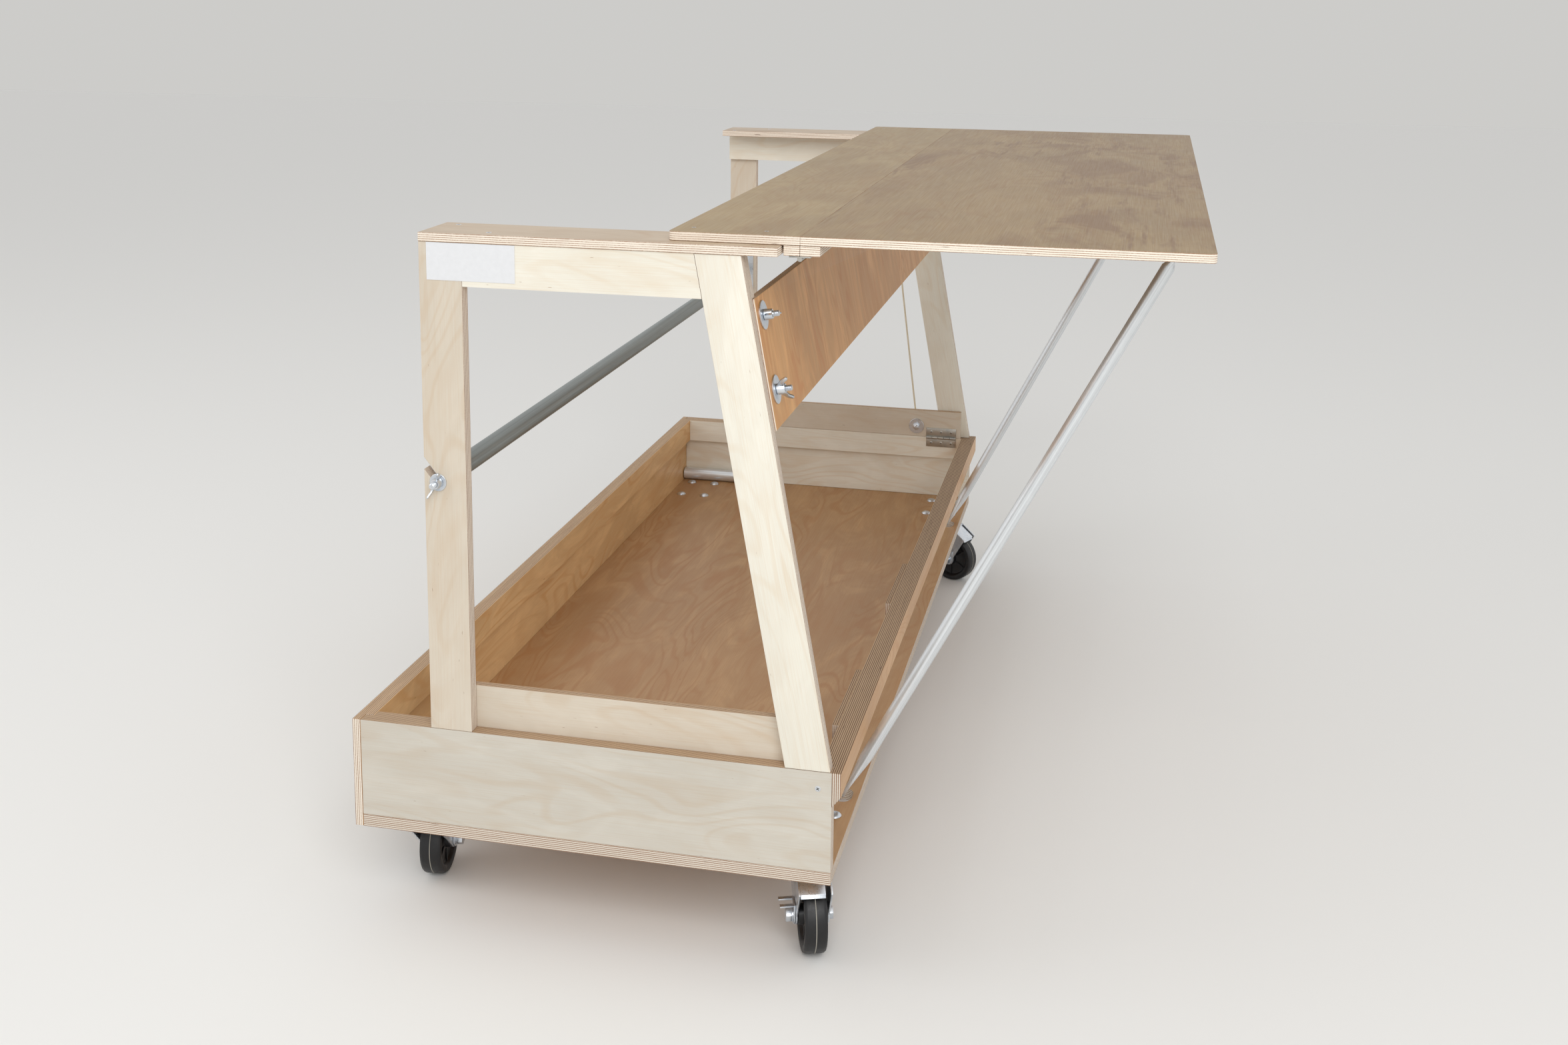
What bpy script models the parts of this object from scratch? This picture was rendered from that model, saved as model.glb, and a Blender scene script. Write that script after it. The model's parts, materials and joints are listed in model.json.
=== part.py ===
"""Folding pasting table on a wheeled plywood tray, with its tubes, casters and fittings."""
import math

import bmesh
import bpy
from mathutils import Matrix, Vector

# Clearances: faces that touch, bolts in holes, cutters past the face they open
GAP = 0.0003
OVERRUN = 0.004
WELD = 0.00001

# Overall sizes. Positions count from the left wall's outer face, the near edge and the deck's underside.
TABLE_REACH = 1.130
BASE_WIDTH = 0.690
BASE_LENGTH = 1.650
CASTER_HEIGHT = 0.137
WALL_TOP = 0.158
FRAME_TOP = 0.834

# Sheet and strip thicknesses
PLY = 0.018
THIN_PLY = 0.012
BATTEN_THICK = 0.013
PLATE_THICK = 0.0016

# Tray
BAND_DEPTH = 0.048
RAIL_BEVEL = 0.015
BLOCK_THICK = 0.010
BLOCK_DROP = 0.003
BLOCK_SPANS = ((0.144, 0.336), (0.607, 0.802))

# End frames
LEG_LEFT = 0.118
LEG_WIDTH = 0.060
SLANT_FOOT_INSET = 0.075
SLANT_FOOT = BASE_WIDTH - SLANT_FOOT_INSET
SLANT_HEAD = 0.492
SLANT_WIDTH = 0.061
UPPER_DEPTH = 0.058
LOWER_DEPTH = 0.060
LOWER_RAIL_SHORT = 0.032
LOWER_RAIL_END = BASE_WIDTH - LOWER_RAIL_SHORT
CAP_LEFT = 0.118
CAP_RIGHT = 0.600
CAP_OVERHANG = 0.0015
CAP_DEPTH = 0.092
SLANT_RATE = (SLANT_FOOT - SLANT_HEAD) / (FRAME_TOP - WALL_TOP)
SLANT_ANGLE = math.atan(SLANT_RATE)

# Table leaves and the battens under their seam
LEAF_SPLIT = 0.624
LEAF_LEFT = 0.452
LEAF_INSET = 0.020
LEAF_CORNER = 0.008
BATTEN_LEFT = 0.603
BATTEN_RIGHT = 0.650

# Apron
APRON_LOW = 0.606
APRON_PROUD = 0.0025
CLEAT_WIDTH = 0.054
CLEAT_DEPTH = 0.140
APRON_BOLT_IN = 0.047
APRON_BOLT_HEIGHTS = {"low": 0.653, "high": 0.750}
GLUE_MARGIN = 0.006

# Bolts, washers and wing nuts
BOLT_RADIUS = 0.004
HOLE_RADIUS = 0.0043
BOLT_HEAD_RADIUS = 0.009
BOLT_HEAD_HEIGHT = 0.004
BOLT_DOME_SHARES = (0.7, 0.3)
BOLT_REACH = 0.022
FENDER_RADIUS = 0.019
RAIL_WASHER_RADIUS = 0.017
BAR_WASHER_RADIUS = 0.012
WASHER_THICK = 0.0018
HUB_RADIUS = 0.0075
HUB_TOP_RADIUS = 0.0062
HUB_HEIGHT = 0.011
WING_THICK = 0.0026
WING_ROOT = 0.0052
WING_OUTLINE_SHARES = ((0, 0.15), (0.22, 0.15), (0.75, 0.75), (1, 1.3), (0.92, 1.62),
                       (0.66, 1.62), (0.3, 0.85), (0, 0.8))
WING_REACH = 0.015
NUT_RADIUS = 0.0075
NUT_HEIGHT = 0.006

APRON_NUT_TURNS = {"near_low": math.radians(35), "far_low": math.radians(-60),
                   "near_high": math.radians(80), "far_high": math.radians(10)}
BAR_NUT_TURNS = {"near": math.radians(65), "far": math.radians(-30)}

# Hanging bar
BAR_RADIUS = 0.014
BAR_WALL = 0.0015
BAR_X = 0.138
BAR_HEIGHT = 0.5086
PLUG_LENGTH = 0.030
PLUG_RECESS = 0.001
VENT_RADIUS = 0.002
SLOT_WIDTH = 0.010
SLOT_ANGLE = math.radians(51.6)
SLOT_PLATE_MARGIN = 0.010
SLOT_PLATE_WIDTH = 0.044
SLOT_PLATE_DROP = 0.0336
SLOT_PLATE_DEPTH = 0.100

# Struts and their brackets
STRUT_RADIUS = 0.009
STRUT_FLAT_HALF = 0.002
STRUT_FLAT_WIDE = 0.012
STRUT_FLAT_LENGTH = 0.034
STRUT_TAPER_LENGTH = 0.034
STRUT_FOOT_FLAT = 0.012
STRUT_FOOT_TAPER = 0.056
STRUT_END_MARGIN = 0.011
STRUT_END_WIDE = 0.007
STRUT_END_CORNER = 0.006
STRUT_HEAD_INSET = {"near": 0.0405, "far": 0.0595}
STRUT_FOOT_INSET = 0.0355
STRUT_FOOT_X = BASE_WIDTH - STRUT_FOOT_INSET
STRUT_HEAD_DROP = 0.0138
STRUT_INSET = {"near": 0.211, "far": 0.212}
STRUT_FOOT_RISE = 0.0014
PIN_RADIUS = 0.003
PIN_HOLE_RADIUS = 0.0033
PIN_HEAD_RADIUS = 0.0055
PIN_HEAD_HEIGHT = 0.003
TAB_DROP = 0.010
TAB_THICK = 0.002
BRACKET_WIDTH = 0.024
BRACKET_FLANGE = 0.026
STRUT_HOLE_WIDTH = 0.028
STRUT_HOLE_LENGTH = 0.041

# Butt hinges
HINGE_LENGTH = 0.067
HINGE_OPEN = 0.043
HINGE_THICK = 0.0018
KNUCKLE_RADIUS = 0.0034
KNUCKLE_COUNT = 5
BASE_HINGE_INSET = 0.0755
BASE_HINGE_X = BASE_WIDTH - BASE_HINGE_INSET
LEAF_HINGE_HALF = 0.014
KNUCKLE_GROOVE = 0.0006
HINGE_SCREW_RADIUS = 0.0032
HINGE_SCREW_SHARES = (-1 / 3, 0, 1 / 3)

# Casters
PLATE_EDGE = {"left": 0.065, "right": 0.063}
PLATE_X = {"left": PLATE_EDGE["left"], "right": BASE_WIDTH - PLATE_EDGE["right"]}
PLATE_INSET = 0.105
PLATE_WIDTH = 0.078
PLATE_LENGTH = 0.114
PLATE_CORNER = 0.008
PLATE_STEEL = 0.003
PATTERN_WIDTH = 0.054
PATTERN_LENGTH = 0.090
DECK_BOLT_RADIUS = 0.003
DECK_HOLE_RADIUS = 0.0033
DECK_HEAD_RADIUS = 0.010
DECK_HEAD_HEIGHT = 0.0045
DECK_DOME_SHARES = (0.7, 0.75)
DECK_NUT_RADIUS = 0.0055
DECK_NUT_HEIGHT = 0.005
TRAIL = 0.036
WHEEL_RADIUS = 0.051
WHEEL_HALF_WIDTH = 0.016
HUB_HALF_WIDTH = 0.0200
WHEEL_HUB_RADIUS = 0.0130
WHEEL_PROFILE_SHARES = ((0.28, 0.7), (0.72, 0.6), (0.78, 0.95), (0.95, 1), (1, 0.72))
AXLE_RADIUS = 0.006
AXLE_HOLE_RADIUS = 0.0063
AXLE_HEAD_RADIUS = 0.0095
AXLE_HEAD_HEIGHT = 0.006
RACE_RADIUS = 0.023
RACE_HEIGHT = 0.005
CROWN_RADIUS = 0.026
CROWN_HEIGHT = 0.006
YOKE_STEEL = 0.003
YOKE_FRONT = 0.026
YOKE_FRONT_DEPTH = 0.028
SHIELD_START = 0.044
SHIELD_REACH = 0.076
SHIELD_DROP = 0.0215
YOKE_BOSS = 0.013
YOKE_BOSS_START = math.radians(-144)
YOKE_BOSS_SWEEP = math.radians(162)
KING_RADIUS = 0.006
KING_HOLE_RADIUS = 0.0063
KING_HEAD_RADIUS = 0.010
KING_HEAD_HEIGHT = 0.003
BRAKE_STEEL = 0.0025
BRAKE_HUB = 0.012
BRAKE_RISE = 0.020
BRAKE_TAB_WIDTH = 0.013
BRAKE_TAB_REACH = 0.022
BRAKE_SPREAD = 0.017
CASTER_TURNS = {
    ("left", "near"): math.radians(97.6),
    ("right", "near"): math.radians(-70.5),
    ("left", "far"): math.radians(75.0),
    ("right", "far"): math.radians(-25.0),
}

# Loose tube, stay and small bolts
SCREW_HEIGHT = 0.0008
LOOSE_RADIUS = 0.0135
LOOSE_WALL = 0.0015
LOOSE_START = 0.014
LOOSE_LENGTH = 0.200
LOOSE_INSET = 0.033
STAY_RADIUS = 0.002
STAY_FOOT_INSET = 0.058
STAY_FOOT_X = SLANT_FOOT - STAY_FOOT_INSET
STAY_HEAD_INSET = 0.009
STAY_HEAD_X = SLANT_HEAD - STAY_HEAD_INSET
STAY_INSET = 0.009
STAY_END = 0.0008
RAIL_BOLT_LEFT = 0.2343
RAIL_BOLT_INSET = 0.057
RAIL_BOLT_HEIGHT = 0.1817
RAIL_BOLTS = {"left": (RAIL_BOLT_LEFT, RAIL_BOLT_HEIGHT),
              "right": (SLANT_FOOT - RAIL_BOLT_INSET, RAIL_BOLT_HEIGHT)}

# Facet counts
WHEEL_SEGMENTS = 24
TUBE_SEGMENTS = 20
ROUND_SEGMENTS = 12
SMALL_SEGMENTS = 8
SHARP_ANGLE = math.radians(35.0)

END_NAMES = ("near", "far")
RIGHT_ANGLE = math.pi / 2
FULL_TURN = 2 * math.pi
UPRIGHT = (RIGHT_ANGLE, 0, 0)

# Heights and places that follow from the sizes above
DECK_TOP = PLY
WALL_FOOT = DECK_TOP + GAP
BAND_LOW = WALL_TOP - BAND_DEPTH
LEG_FOOT = WALL_TOP + GAP
UPPER_LOW = FRAME_TOP - UPPER_DEPTH
CAP_LOW = FRAME_TOP + GAP
CAP_HIGH = FRAME_TOP + THIN_PLY
LEAF_LOW = CAP_HIGH + GAP
LEAF_HIGH = CAP_HIGH + THIN_PLY
RAIL_FACE = BASE_WIDTH - THIN_PLY
AXLE_DROP = CASTER_HEIGHT - WHEEL_RADIUS
STRUT_HEAD_HEIGHT = LEAF_LOW - STRUT_HEAD_DROP
STRUT_HEAD_X = {end: TABLE_REACH - inset for end, inset in STRUT_HEAD_INSET.items()}
SLOT_PLATE_LEFT = BAR_X - SLOT_PLATE_MARGIN
SLOT_PLATE_LOW = BAR_HEIGHT - SLOT_PLATE_DROP
LINING = PLY + THIN_PLY


def place(x, y, z):
    """World position of a point given from the tray's near left lower corner."""
    return Vector((x - TABLE_REACH / 2, y - BASE_LENGTH / 2, z + CASTER_HEIGHT))


def end_y(depth, end):
    """Distance along the table of a point this deep from one end."""
    return depth if end == "near" else BASE_LENGTH - depth


def end_turn(end):
    """Rotation whose local Z points out of one end of the table."""
    return (RIGHT_ANGLE, 0, 0) if end == "near" else (-RIGHT_ANGLE, 0, 0)


def in_turn(end):
    """Rotation whose local Z points from one end into the table."""
    return (-RIGHT_ANGLE, 0, 0) if end == "near" else (RIGHT_ANGLE, 0, 0)


def material(name, colour, roughness, metallic=0.0):
    """Plain surface with a linear colour."""
    made = bpy.data.materials.new(name)
    made.use_nodes = True
    shader = made.node_tree.nodes["Principled BSDF"]
    shader.inputs["Base Color"].default_value = (*colour, 1.0)
    shader.inputs["Roughness"].default_value = roughness
    shader.inputs["Metallic"].default_value = metallic
    made.diffuse_color = (*colour, 1.0)
    return made


def add_part(name, mesh, where, surface, turn=(0, 0, 0)):
    """One named object in the table's collection."""
    if not mesh.materials:
        mesh.materials.append(surface)
    part = bpy.data.objects.new(name, mesh)
    part.location = where
    part.rotation_euler = turn
    bpy.data.collections["pasting_table"].objects.link(part)
    return part


def finished(mesh, smooth=False):
    """Weld doubled points, turn the faces outwards and shade the mesh."""
    work = bmesh.new()
    work.from_mesh(mesh)
    bmesh.ops.remove_doubles(work, verts=work.verts, dist=WELD)
    bmesh.ops.recalc_face_normals(work, faces=work.faces)
    work.to_mesh(mesh)
    work.free()
    if smooth:
        mesh.shade_smooth()
        mesh.set_sharp_from_angle(angle=SHARP_ANGLE)
    return mesh


def evaluated_mesh(name, carrier):
    """The carrier's evaluated mesh under its own name; the carrier is removed."""
    graph = bpy.context.evaluated_depsgraph_get()
    mesh = bpy.data.meshes.new_from_object(carrier.evaluated_get(graph))
    mesh.name = name
    bpy.data.objects.remove(carrier)
    return mesh


def carry(name, data):
    """Temporary object that carries a curve or a mesh through the evaluation."""
    carrier = bpy.data.objects.new(name, data)
    bpy.context.scene.collection.objects.link(carrier)
    return carrier


def box_mesh(name, spans, centre=Vector((0, 0, 0))):
    """Upright boxes in one mesh, each given by its x, y and z spans, about a centre."""
    work = bmesh.new()
    for span in spans:
        middle = Vector([(low + high) / 2 for low, high in span])
        size = [abs(high - low) for low, high in span]
        matrix = Matrix.Translation(middle - centre) @ Matrix.Diagonal((*size, 1))
        bmesh.ops.create_cube(work, size=1, matrix=matrix)
    mesh = bpy.data.meshes.new(name)
    work.to_mesh(mesh)
    work.free()
    return mesh


def boxes(name, spans, surface):
    """A node of upright boxes, its origin at the first box's centre."""
    centre = Vector([(low + high) / 2 for low, high in spans[0]])
    return add_part(name, box_mesh(name, spans, centre), place(*centre), surface)


def sheet_mesh(name, outlines, thickness):
    """Flat board or plate from closed outlines in XY, holes among them, centred on z = 0."""
    curve = bpy.data.curves.new(name, "CURVE")
    curve.dimensions = "2D"
    curve.fill_mode = "BOTH"
    curve.extrude = thickness / 2
    for outline in outlines:
        spline = curve.splines.new("POLY")
        spline.points.add(len(outline) - 1)
        for point, (x, y) in zip(spline.points, outline):
            point.co = (x, y, 0, 1)
        spline.use_cyclic_u = True
    return finished(evaluated_mesh(name, carry(name, curve)))


def turned_mesh(name, profile, segments, ring=False, smooth=True):
    """Turned solid about Z from (radius, height) points running down; a ring closes on itself."""
    outline = bpy.data.meshes.new(name)
    count = len(profile)
    edges = [(index, (index + 1) % count) for index in range(count if ring else count - 1)]
    outline.from_pydata([(radius, 0, height) for radius, height in profile], edges, [])
    carrier = carry(name, outline)
    screw = carrier.modifiers.new("turn", "SCREW")
    screw.steps = segments
    screw.render_steps = segments
    screw.use_merge_vertices = True
    screw.merge_threshold = WELD
    return finished(evaluated_mesh(name, carrier), smooth)


def moved(mesh, matrix):
    """The mesh after a move, for building larger shapes."""
    mesh.transform(matrix)
    mesh.update()
    return mesh


def combined(name, base, tools, operation, smooth=False):
    """Exact Boolean of one mesh with others, as one new mesh."""
    carrier = carry(name, base)
    cutters = [carry(name, tool) for tool in tools]
    for cutter in cutters:
        modifier = carrier.modifiers.new("join", "BOOLEAN")
        modifier.operation = operation
        modifier.solver = "EXACT"
        modifier.object = cutter
    mesh = evaluated_mesh(name, carrier)
    for cutter in cutters:
        bpy.data.objects.remove(cutter)
    return finished(mesh, smooth)


def joined(name, pieces, smooth=False):
    """Exact union of overlapping meshes as one closed body."""
    return combined(name, pieces[0], pieces[1:], "UNION", smooth)


def pose(where, turn=(0, 0, 0)):
    """Matrix of a world place and an XYZ rotation."""
    x_turn, y_turn, z_turn = turn
    return (Matrix.Translation(where) @ Matrix.Rotation(z_turn, 4, "Z")
            @ Matrix.Rotation(y_turn, 4, "Y") @ Matrix.Rotation(x_turn, 4, "X"))


def circle(x, y, radius, segments, start=0.0, sweep=FULL_TURN):
    """Points round a circle, or along an arc of it with both its ends."""
    count = segments if sweep == FULL_TURN else segments + 1
    angles = [start + sweep * index / segments for index in range(count)]
    return [(x + radius * math.cos(angle), y + radius * math.sin(angle)) for angle in angles]


def rounded(x_span, y_span, radii, segments=4):
    """Rectangle outline with its own radius at each corner, from the low corner round."""
    corners = ((0, 0, 2), (1, 0, 3), (1, 1, 0), (0, 1, 1))
    points = []
    for (right, top, quarter), radius in zip(corners, radii):
        x = x_span[1] - radius if right else x_span[0] + radius
        y = y_span[1] - radius if top else y_span[0] + radius
        start = quarter * RIGHT_ANGLE
        points += circle(x, y, radius, segments, start, RIGHT_ANGLE) if radius else [(x, y)]
    return points


def upright_board(name, outline, low_y, high_y, surface):
    """Board whose outline stands in XZ, reaching from one y to another."""
    x0, z0 = outline[0]
    local = [(x - x0, z - z0) for x, z in outline]
    mesh = sheet_mesh(name, [local], high_y - low_y)
    return add_part(name, mesh, place(x0, (low_y + high_y) / 2, z0), surface, (RIGHT_ANGLE, 0, 0))


def slant_x(height):
    """Left edge of the slanted leg at a height."""
    return SLANT_FOOT - SLANT_RATE * (height - WALL_TOP)


def make_tray(woods):
    """Deck, walls, strips and the open front's rail."""
    inner = (PLY + GAP, BASE_LENGTH - PLY - GAP)
    low_x, high_x = THIN_PLY + GAP, RAIL_FACE - GAP
    holes = [circle(x, y, DECK_HOLE_RADIUS, SMALL_SEGMENTS) for x, y in deck_bolt_places()]
    straight = STRUT_HOLE_LENGTH - STRUT_HOLE_WIDTH
    radius = STRUT_HOLE_WIDTH / 2
    for end, inset in STRUT_INSET.items():
        y = end_y(inset, end)
        hole = circle(STRUT_FOOT_X, y + straight / 2, radius, SMALL_SEGMENTS, 0, math.pi)
        hole += circle(STRUT_FOOT_X, y - straight / 2, radius, SMALL_SEGMENTS, math.pi, math.pi)
        holes.append(hole)
    outline = [(low_x, 0), (high_x, 0), (high_x, BASE_LENGTH), (low_x, BASE_LENGTH)]
    add_part("deck", sheet_mesh("deck", [outline, *holes], PLY), place(0, 0, PLY / 2), woods["deck"])
    lining_x = (THIN_PLY - OVERRUN, low_x + THIN_PLY)
    wall = [box_mesh("wall", [((0, THIN_PLY), (0, BASE_LENGTH), (0, WALL_TOP))]),
            box_mesh("lining", [(lining_x, inner, (BAND_LOW, WALL_TOP))])]
    add_part("left_board", joined("left_board", wall), place(0, 0, 0), woods["wall"])
    strip_x = (RAIL_FACE - PLY, RAIL_FACE + OVERRUN)
    block_x = (strip_x[0] - BLOCK_THICK, strip_x[0] + OVERRUN)
    block_z = (BAND_LOW, WALL_TOP - BLOCK_DROP)
    outer = [(RAIL_FACE, BAND_LOW), (BASE_WIDTH, BAND_LOW + RAIL_BEVEL), (BASE_WIDTH, WALL_TOP),
             (RAIL_FACE, WALL_TOP)]
    pieces = [moved(sheet_mesh("rail", [outer], BASE_LENGTH), pose((0, BASE_LENGTH / 2, 0), UPRIGHT)),
              box_mesh("strip", [(strip_x, inner, (BAND_LOW, WALL_TOP))])]
    pieces += [box_mesh("block", [(block_x, span, block_z)]) for span in BLOCK_SPANS]
    add_part("front_rail", joined("front_rail", pieces), place(0, 0, 0), woods["rail"])
    doubler_x = (lining_x[1] + GAP, strip_x[0] - GAP)
    for end in END_NAMES:
        panel_y = sorted((end_y(0, end), end_y(PLY, end)))
        doubler_y = sorted((end_y(PLY - OVERRUN, end), end_y(LINING, end)))
        panel = [box_mesh("panel", [((low_x, high_x), panel_y, (WALL_FOOT, WALL_TOP))]),
                 box_mesh("doubler", [(doubler_x, doubler_y, (BAND_LOW, WALL_TOP))])]
        name = f"end_panel_{end}"
        add_part(name, joined(name, panel), place(0, 0, 0), woods["panel"])


def slotted_leg():
    """Upright leg's outline with the slanted slot open at its left edge."""
    return [(LEG_LEFT, LEG_FOOT), *slot_path(LEG_LEFT), (LEG_LEFT, FRAME_TOP),
            (LEG_LEFT + LEG_WIDTH, FRAME_TOP), (LEG_LEFT + LEG_WIDTH, LEG_FOOT)]


def slot_path(edge_x):
    """Points of the slot from its lower lip at an edge, round the seat, to the upper lip."""
    run = Vector((-math.cos(SLOT_ANGLE), math.sin(SLOT_ANGLE)))
    side = Vector((run.y, -run.x)) * SLOT_WIDTH / 2
    seat = Vector((BAR_X, BAR_HEIGHT))
    lips = []
    for sign in (-1, 1):
        start = seat + side * sign
        lips.append(start + run * (start.x - edge_x) / math.cos(SLOT_ANGLE))
    low_angle = math.atan2(-side.y, -side.x)
    seat_arc = circle(seat.x, seat.y, SLOT_WIDTH / 2, SMALL_SEGMENTS, low_angle, math.pi)
    return [tuple(lips[0]), *seat_arc, tuple(lips[1])]


def standing(outline, low_y, high_y):
    """Board whose outline stands in XZ, as a mesh in the tray's own axes."""
    mesh = sheet_mesh("board", [outline], high_y - low_y)
    return moved(mesh, pose((0, (low_y + high_y) / 2, 0), UPRIGHT))


def make_frames(woods):
    """Legs, rails and cap boards of both end frames."""
    slanted = [(slant_x(LEG_FOOT), LEG_FOOT), (slant_x(LEG_FOOT) + SLANT_WIDTH, LEG_FOOT),
               (slant_x(FRAME_TOP) + SLANT_WIDTH, FRAME_TOP), (slant_x(FRAME_TOP), FRAME_TOP)]
    left = LEG_LEFT + LEG_WIDTH + GAP
    rail = [(left, UPPER_LOW), (slant_x(UPPER_LOW) - GAP, UPPER_LOW),
            (slant_x(FRAME_TOP) - GAP, FRAME_TOP), (left, FRAME_TOP)]
    right_low, right_high = (slant_x(z) + SLANT_WIDTH for z in (UPPER_LOW, FRAME_TOP))
    lapped = [(LEG_LEFT, UPPER_LOW), (right_low, UPPER_LOW), (right_high, FRAME_TOP),
              (LEG_LEFT, FRAME_TOP)]
    glue_x = (left + GLUE_MARGIN, slant_x(FRAME_TOP) - GLUE_MARGIN)
    glue_z = (UPPER_LOW + GLUE_MARGIN, FRAME_TOP - GLUE_MARGIN)
    for end in END_NAMES:
        low_y, high_y = sorted((end_y(0, end), end_y(PLY, end)))
        in_low, in_high = sorted((end_y(PLY + GAP, end), end_y(LINING, end)))
        upright_board(f"left_leg_{end}", slotted_leg(), low_y, high_y, woods["leg"])
        leg = [standing(slanted, low_y, high_y), cleat_mesh(end)]
        name = f"slanted_leg_{end}"
        add_part(name, joined(name, leg), place(0, 0, 0), woods["slanted_leg"])
        glue_y = sorted((end_y(PLY - OVERRUN, end), end_y(PLY + OVERRUN, end)))
        rails = [standing(rail, low_y, high_y), standing(lapped, in_low, in_high),
                 box_mesh("glue", [(glue_x, glue_y, glue_z)])]
        name = f"upper_rail_{end}"
        add_part(name, joined(name, rails), place(0, 0, 0), woods["leg"])
        make_lower_rail(end, in_low, in_high, woods["leg"])
        cap_y = sorted((end_y(-CAP_OVERHANG, end), end_y(CAP_DEPTH, end)))
        boxes(f"cap_{end}", [((CAP_LEFT, CAP_RIGHT), cap_y, (CAP_LOW, CAP_HIGH))], woods["cap"])


def make_lower_rail(end, low_y, high_y, surface):
    """Lower rail lapped inside the legs; the far one is drilled for its two bolts."""
    x_span, z_span = (LEG_LEFT, LOWER_RAIL_END), (LEG_FOOT, LEG_FOOT + LOWER_DEPTH)
    if end == "near":
        boxes("lower_rail_near", [(x_span, (low_y, high_y), z_span)], surface)
        return
    outline = rounded(x_span, z_span, (0, 0, 0, 0))
    holes = [circle(x, z, HOLE_RADIUS, ROUND_SEGMENTS) for x, z in RAIL_BOLTS.values()]
    mesh = sheet_mesh("lower_rail_far", [outline, *holes], high_y - low_y)
    add_part("lower_rail_far", mesh, place(0, (low_y + high_y) / 2, 0), surface, UPRIGHT)


def make_top(woods, steel):
    """The two leaves, the battens under their seam and the leaf hinges."""
    y_span = (LEAF_INSET, BASE_LENGTH - LEAF_INSET)
    heights = place(0, 0, (LEAF_LOW + LEAF_HIGH) / 2)
    thick = LEAF_HIGH - LEAF_LOW
    inner = rounded((LEAF_LEFT, LEAF_SPLIT), y_span, (LEAF_CORNER, 0, 0, LEAF_CORNER))
    outer = rounded((LEAF_SPLIT + GAP, TABLE_REACH), y_span, (0, LEAF_CORNER, LEAF_CORNER, 0))
    add_part("leaf_inner", sheet_mesh("leaf_inner", [inner], thick), heights, woods["top"])
    add_part("leaf_outer", sheet_mesh("leaf_outer", [outer], thick), heights, woods["top"])
    low = LEAF_LOW - GAP - BATTEN_THICK
    z_span = (low, LEAF_LOW - GAP)
    boxes("batten_inner", [((BATTEN_LEFT, LEAF_SPLIT - GAP), y_span, z_span)], woods["batten"])
    boxes("batten_outer", [((LEAF_SPLIT + GAP, BATTEN_RIGHT), y_span, z_span)], woods["batten"])
    under = low - GAP
    plate = box_mesh("leaf_hinge", [((-LEAF_HINGE_HALF, LEAF_HINGE_HALF), y_span,
                                     (-HINGE_THICK, 0))])
    half = (y_span[1] - y_span[0]) / 2 - GAP
    barrel = turned_mesh("barrel", [(0, half), (KNUCKLE_RADIUS, half), (KNUCKLE_RADIUS, -half),
                                    (0, -half)], SMALL_SEGMENTS)
    barrel = moved(barrel, pose((0, BASE_LENGTH / 2, -KNUCKLE_RADIUS - GAP), UPRIGHT))
    hinge = joined("leaf_hinge", [plate, barrel])
    add_part("leaf_hinge", hinge, place(LEAF_SPLIT, 0, under), steel)


def butt_hinge_mesh():
    """Closed butt hinge lying on z = 0, its pin along X: two leaves, knuckles and screw heads."""
    half = HINGE_LENGTH / 2
    pieces = [box_mesh("leaves", [((-half, half), (-HINGE_OPEN / 2, HINGE_OPEN / 2), (0, HINGE_THICK))])]
    pitch = HINGE_LENGTH / KNUCKLE_COUNT
    profile = [(0, half)]
    for index in range(KNUCKLE_COUNT):
        high = half - index * pitch
        low = high - pitch
        profile += [(KNUCKLE_RADIUS, high - KNUCKLE_GROOVE * bool(index)),
                    (KNUCKLE_RADIUS, low + KNUCKLE_GROOVE * (index < KNUCKLE_COUNT - 1))]
        if index < KNUCKLE_COUNT - 1:
            profile.append((KNUCKLE_RADIUS - KNUCKLE_GROOVE, low))
    profile.append((0, -half))
    barrel = turned_mesh("barrel", profile, SMALL_SEGMENTS)
    pieces.append(moved(barrel, pose((0, 0, KNUCKLE_RADIUS), (0, RIGHT_ANGLE, 0))))
    head = [(0, HINGE_THICK + SCREW_HEIGHT), (HINGE_SCREW_RADIUS, HINGE_THICK + SCREW_HEIGHT),
            (HINGE_SCREW_RADIUS, HINGE_THICK / 2), (0, HINGE_THICK / 2)]
    offset = (HINGE_OPEN / 2 + KNUCKLE_RADIUS) / 2
    for share in HINGE_SCREW_SHARES:
        for side in (-1, 1):
            screw = turned_mesh("screw", head, SMALL_SEGMENTS)
            where = (share * HINGE_LENGTH, side * offset, 0)
            pieces.append(moved(screw, Matrix.Translation(where)))
    return joined("butt_hinge", pieces)


def apron_pose():
    """World pose of the apron's top near corner: local X down its slope, Z out of its face."""
    high = UPPER_LOW - GAP
    x = slant_x(high) + SLANT_WIDTH + APRON_PROUD
    return pose(place(x, PLY + GAP, high), (0, RIGHT_ANGLE - SLANT_ANGLE, 0))


def apron_bolt_places():
    """Bolt centres on the apron: their run down the slope and their y, by name."""
    rise = 1 / math.cos(SLANT_ANGLE)
    spots = {}
    for level, height in APRON_BOLT_HEIGHTS.items():
        for end in END_NAMES:
            run = (UPPER_LOW - GAP - height) * rise
            spots[f"{end}_{level}"] = (run, end_y(APRON_BOLT_IN, end) - PLY - GAP)
    return spots


def apron_length():
    """Width of the apron board down its slope."""
    return (UPPER_LOW - GAP - APRON_LOW) / math.cos(SLANT_ANGLE)


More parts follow.
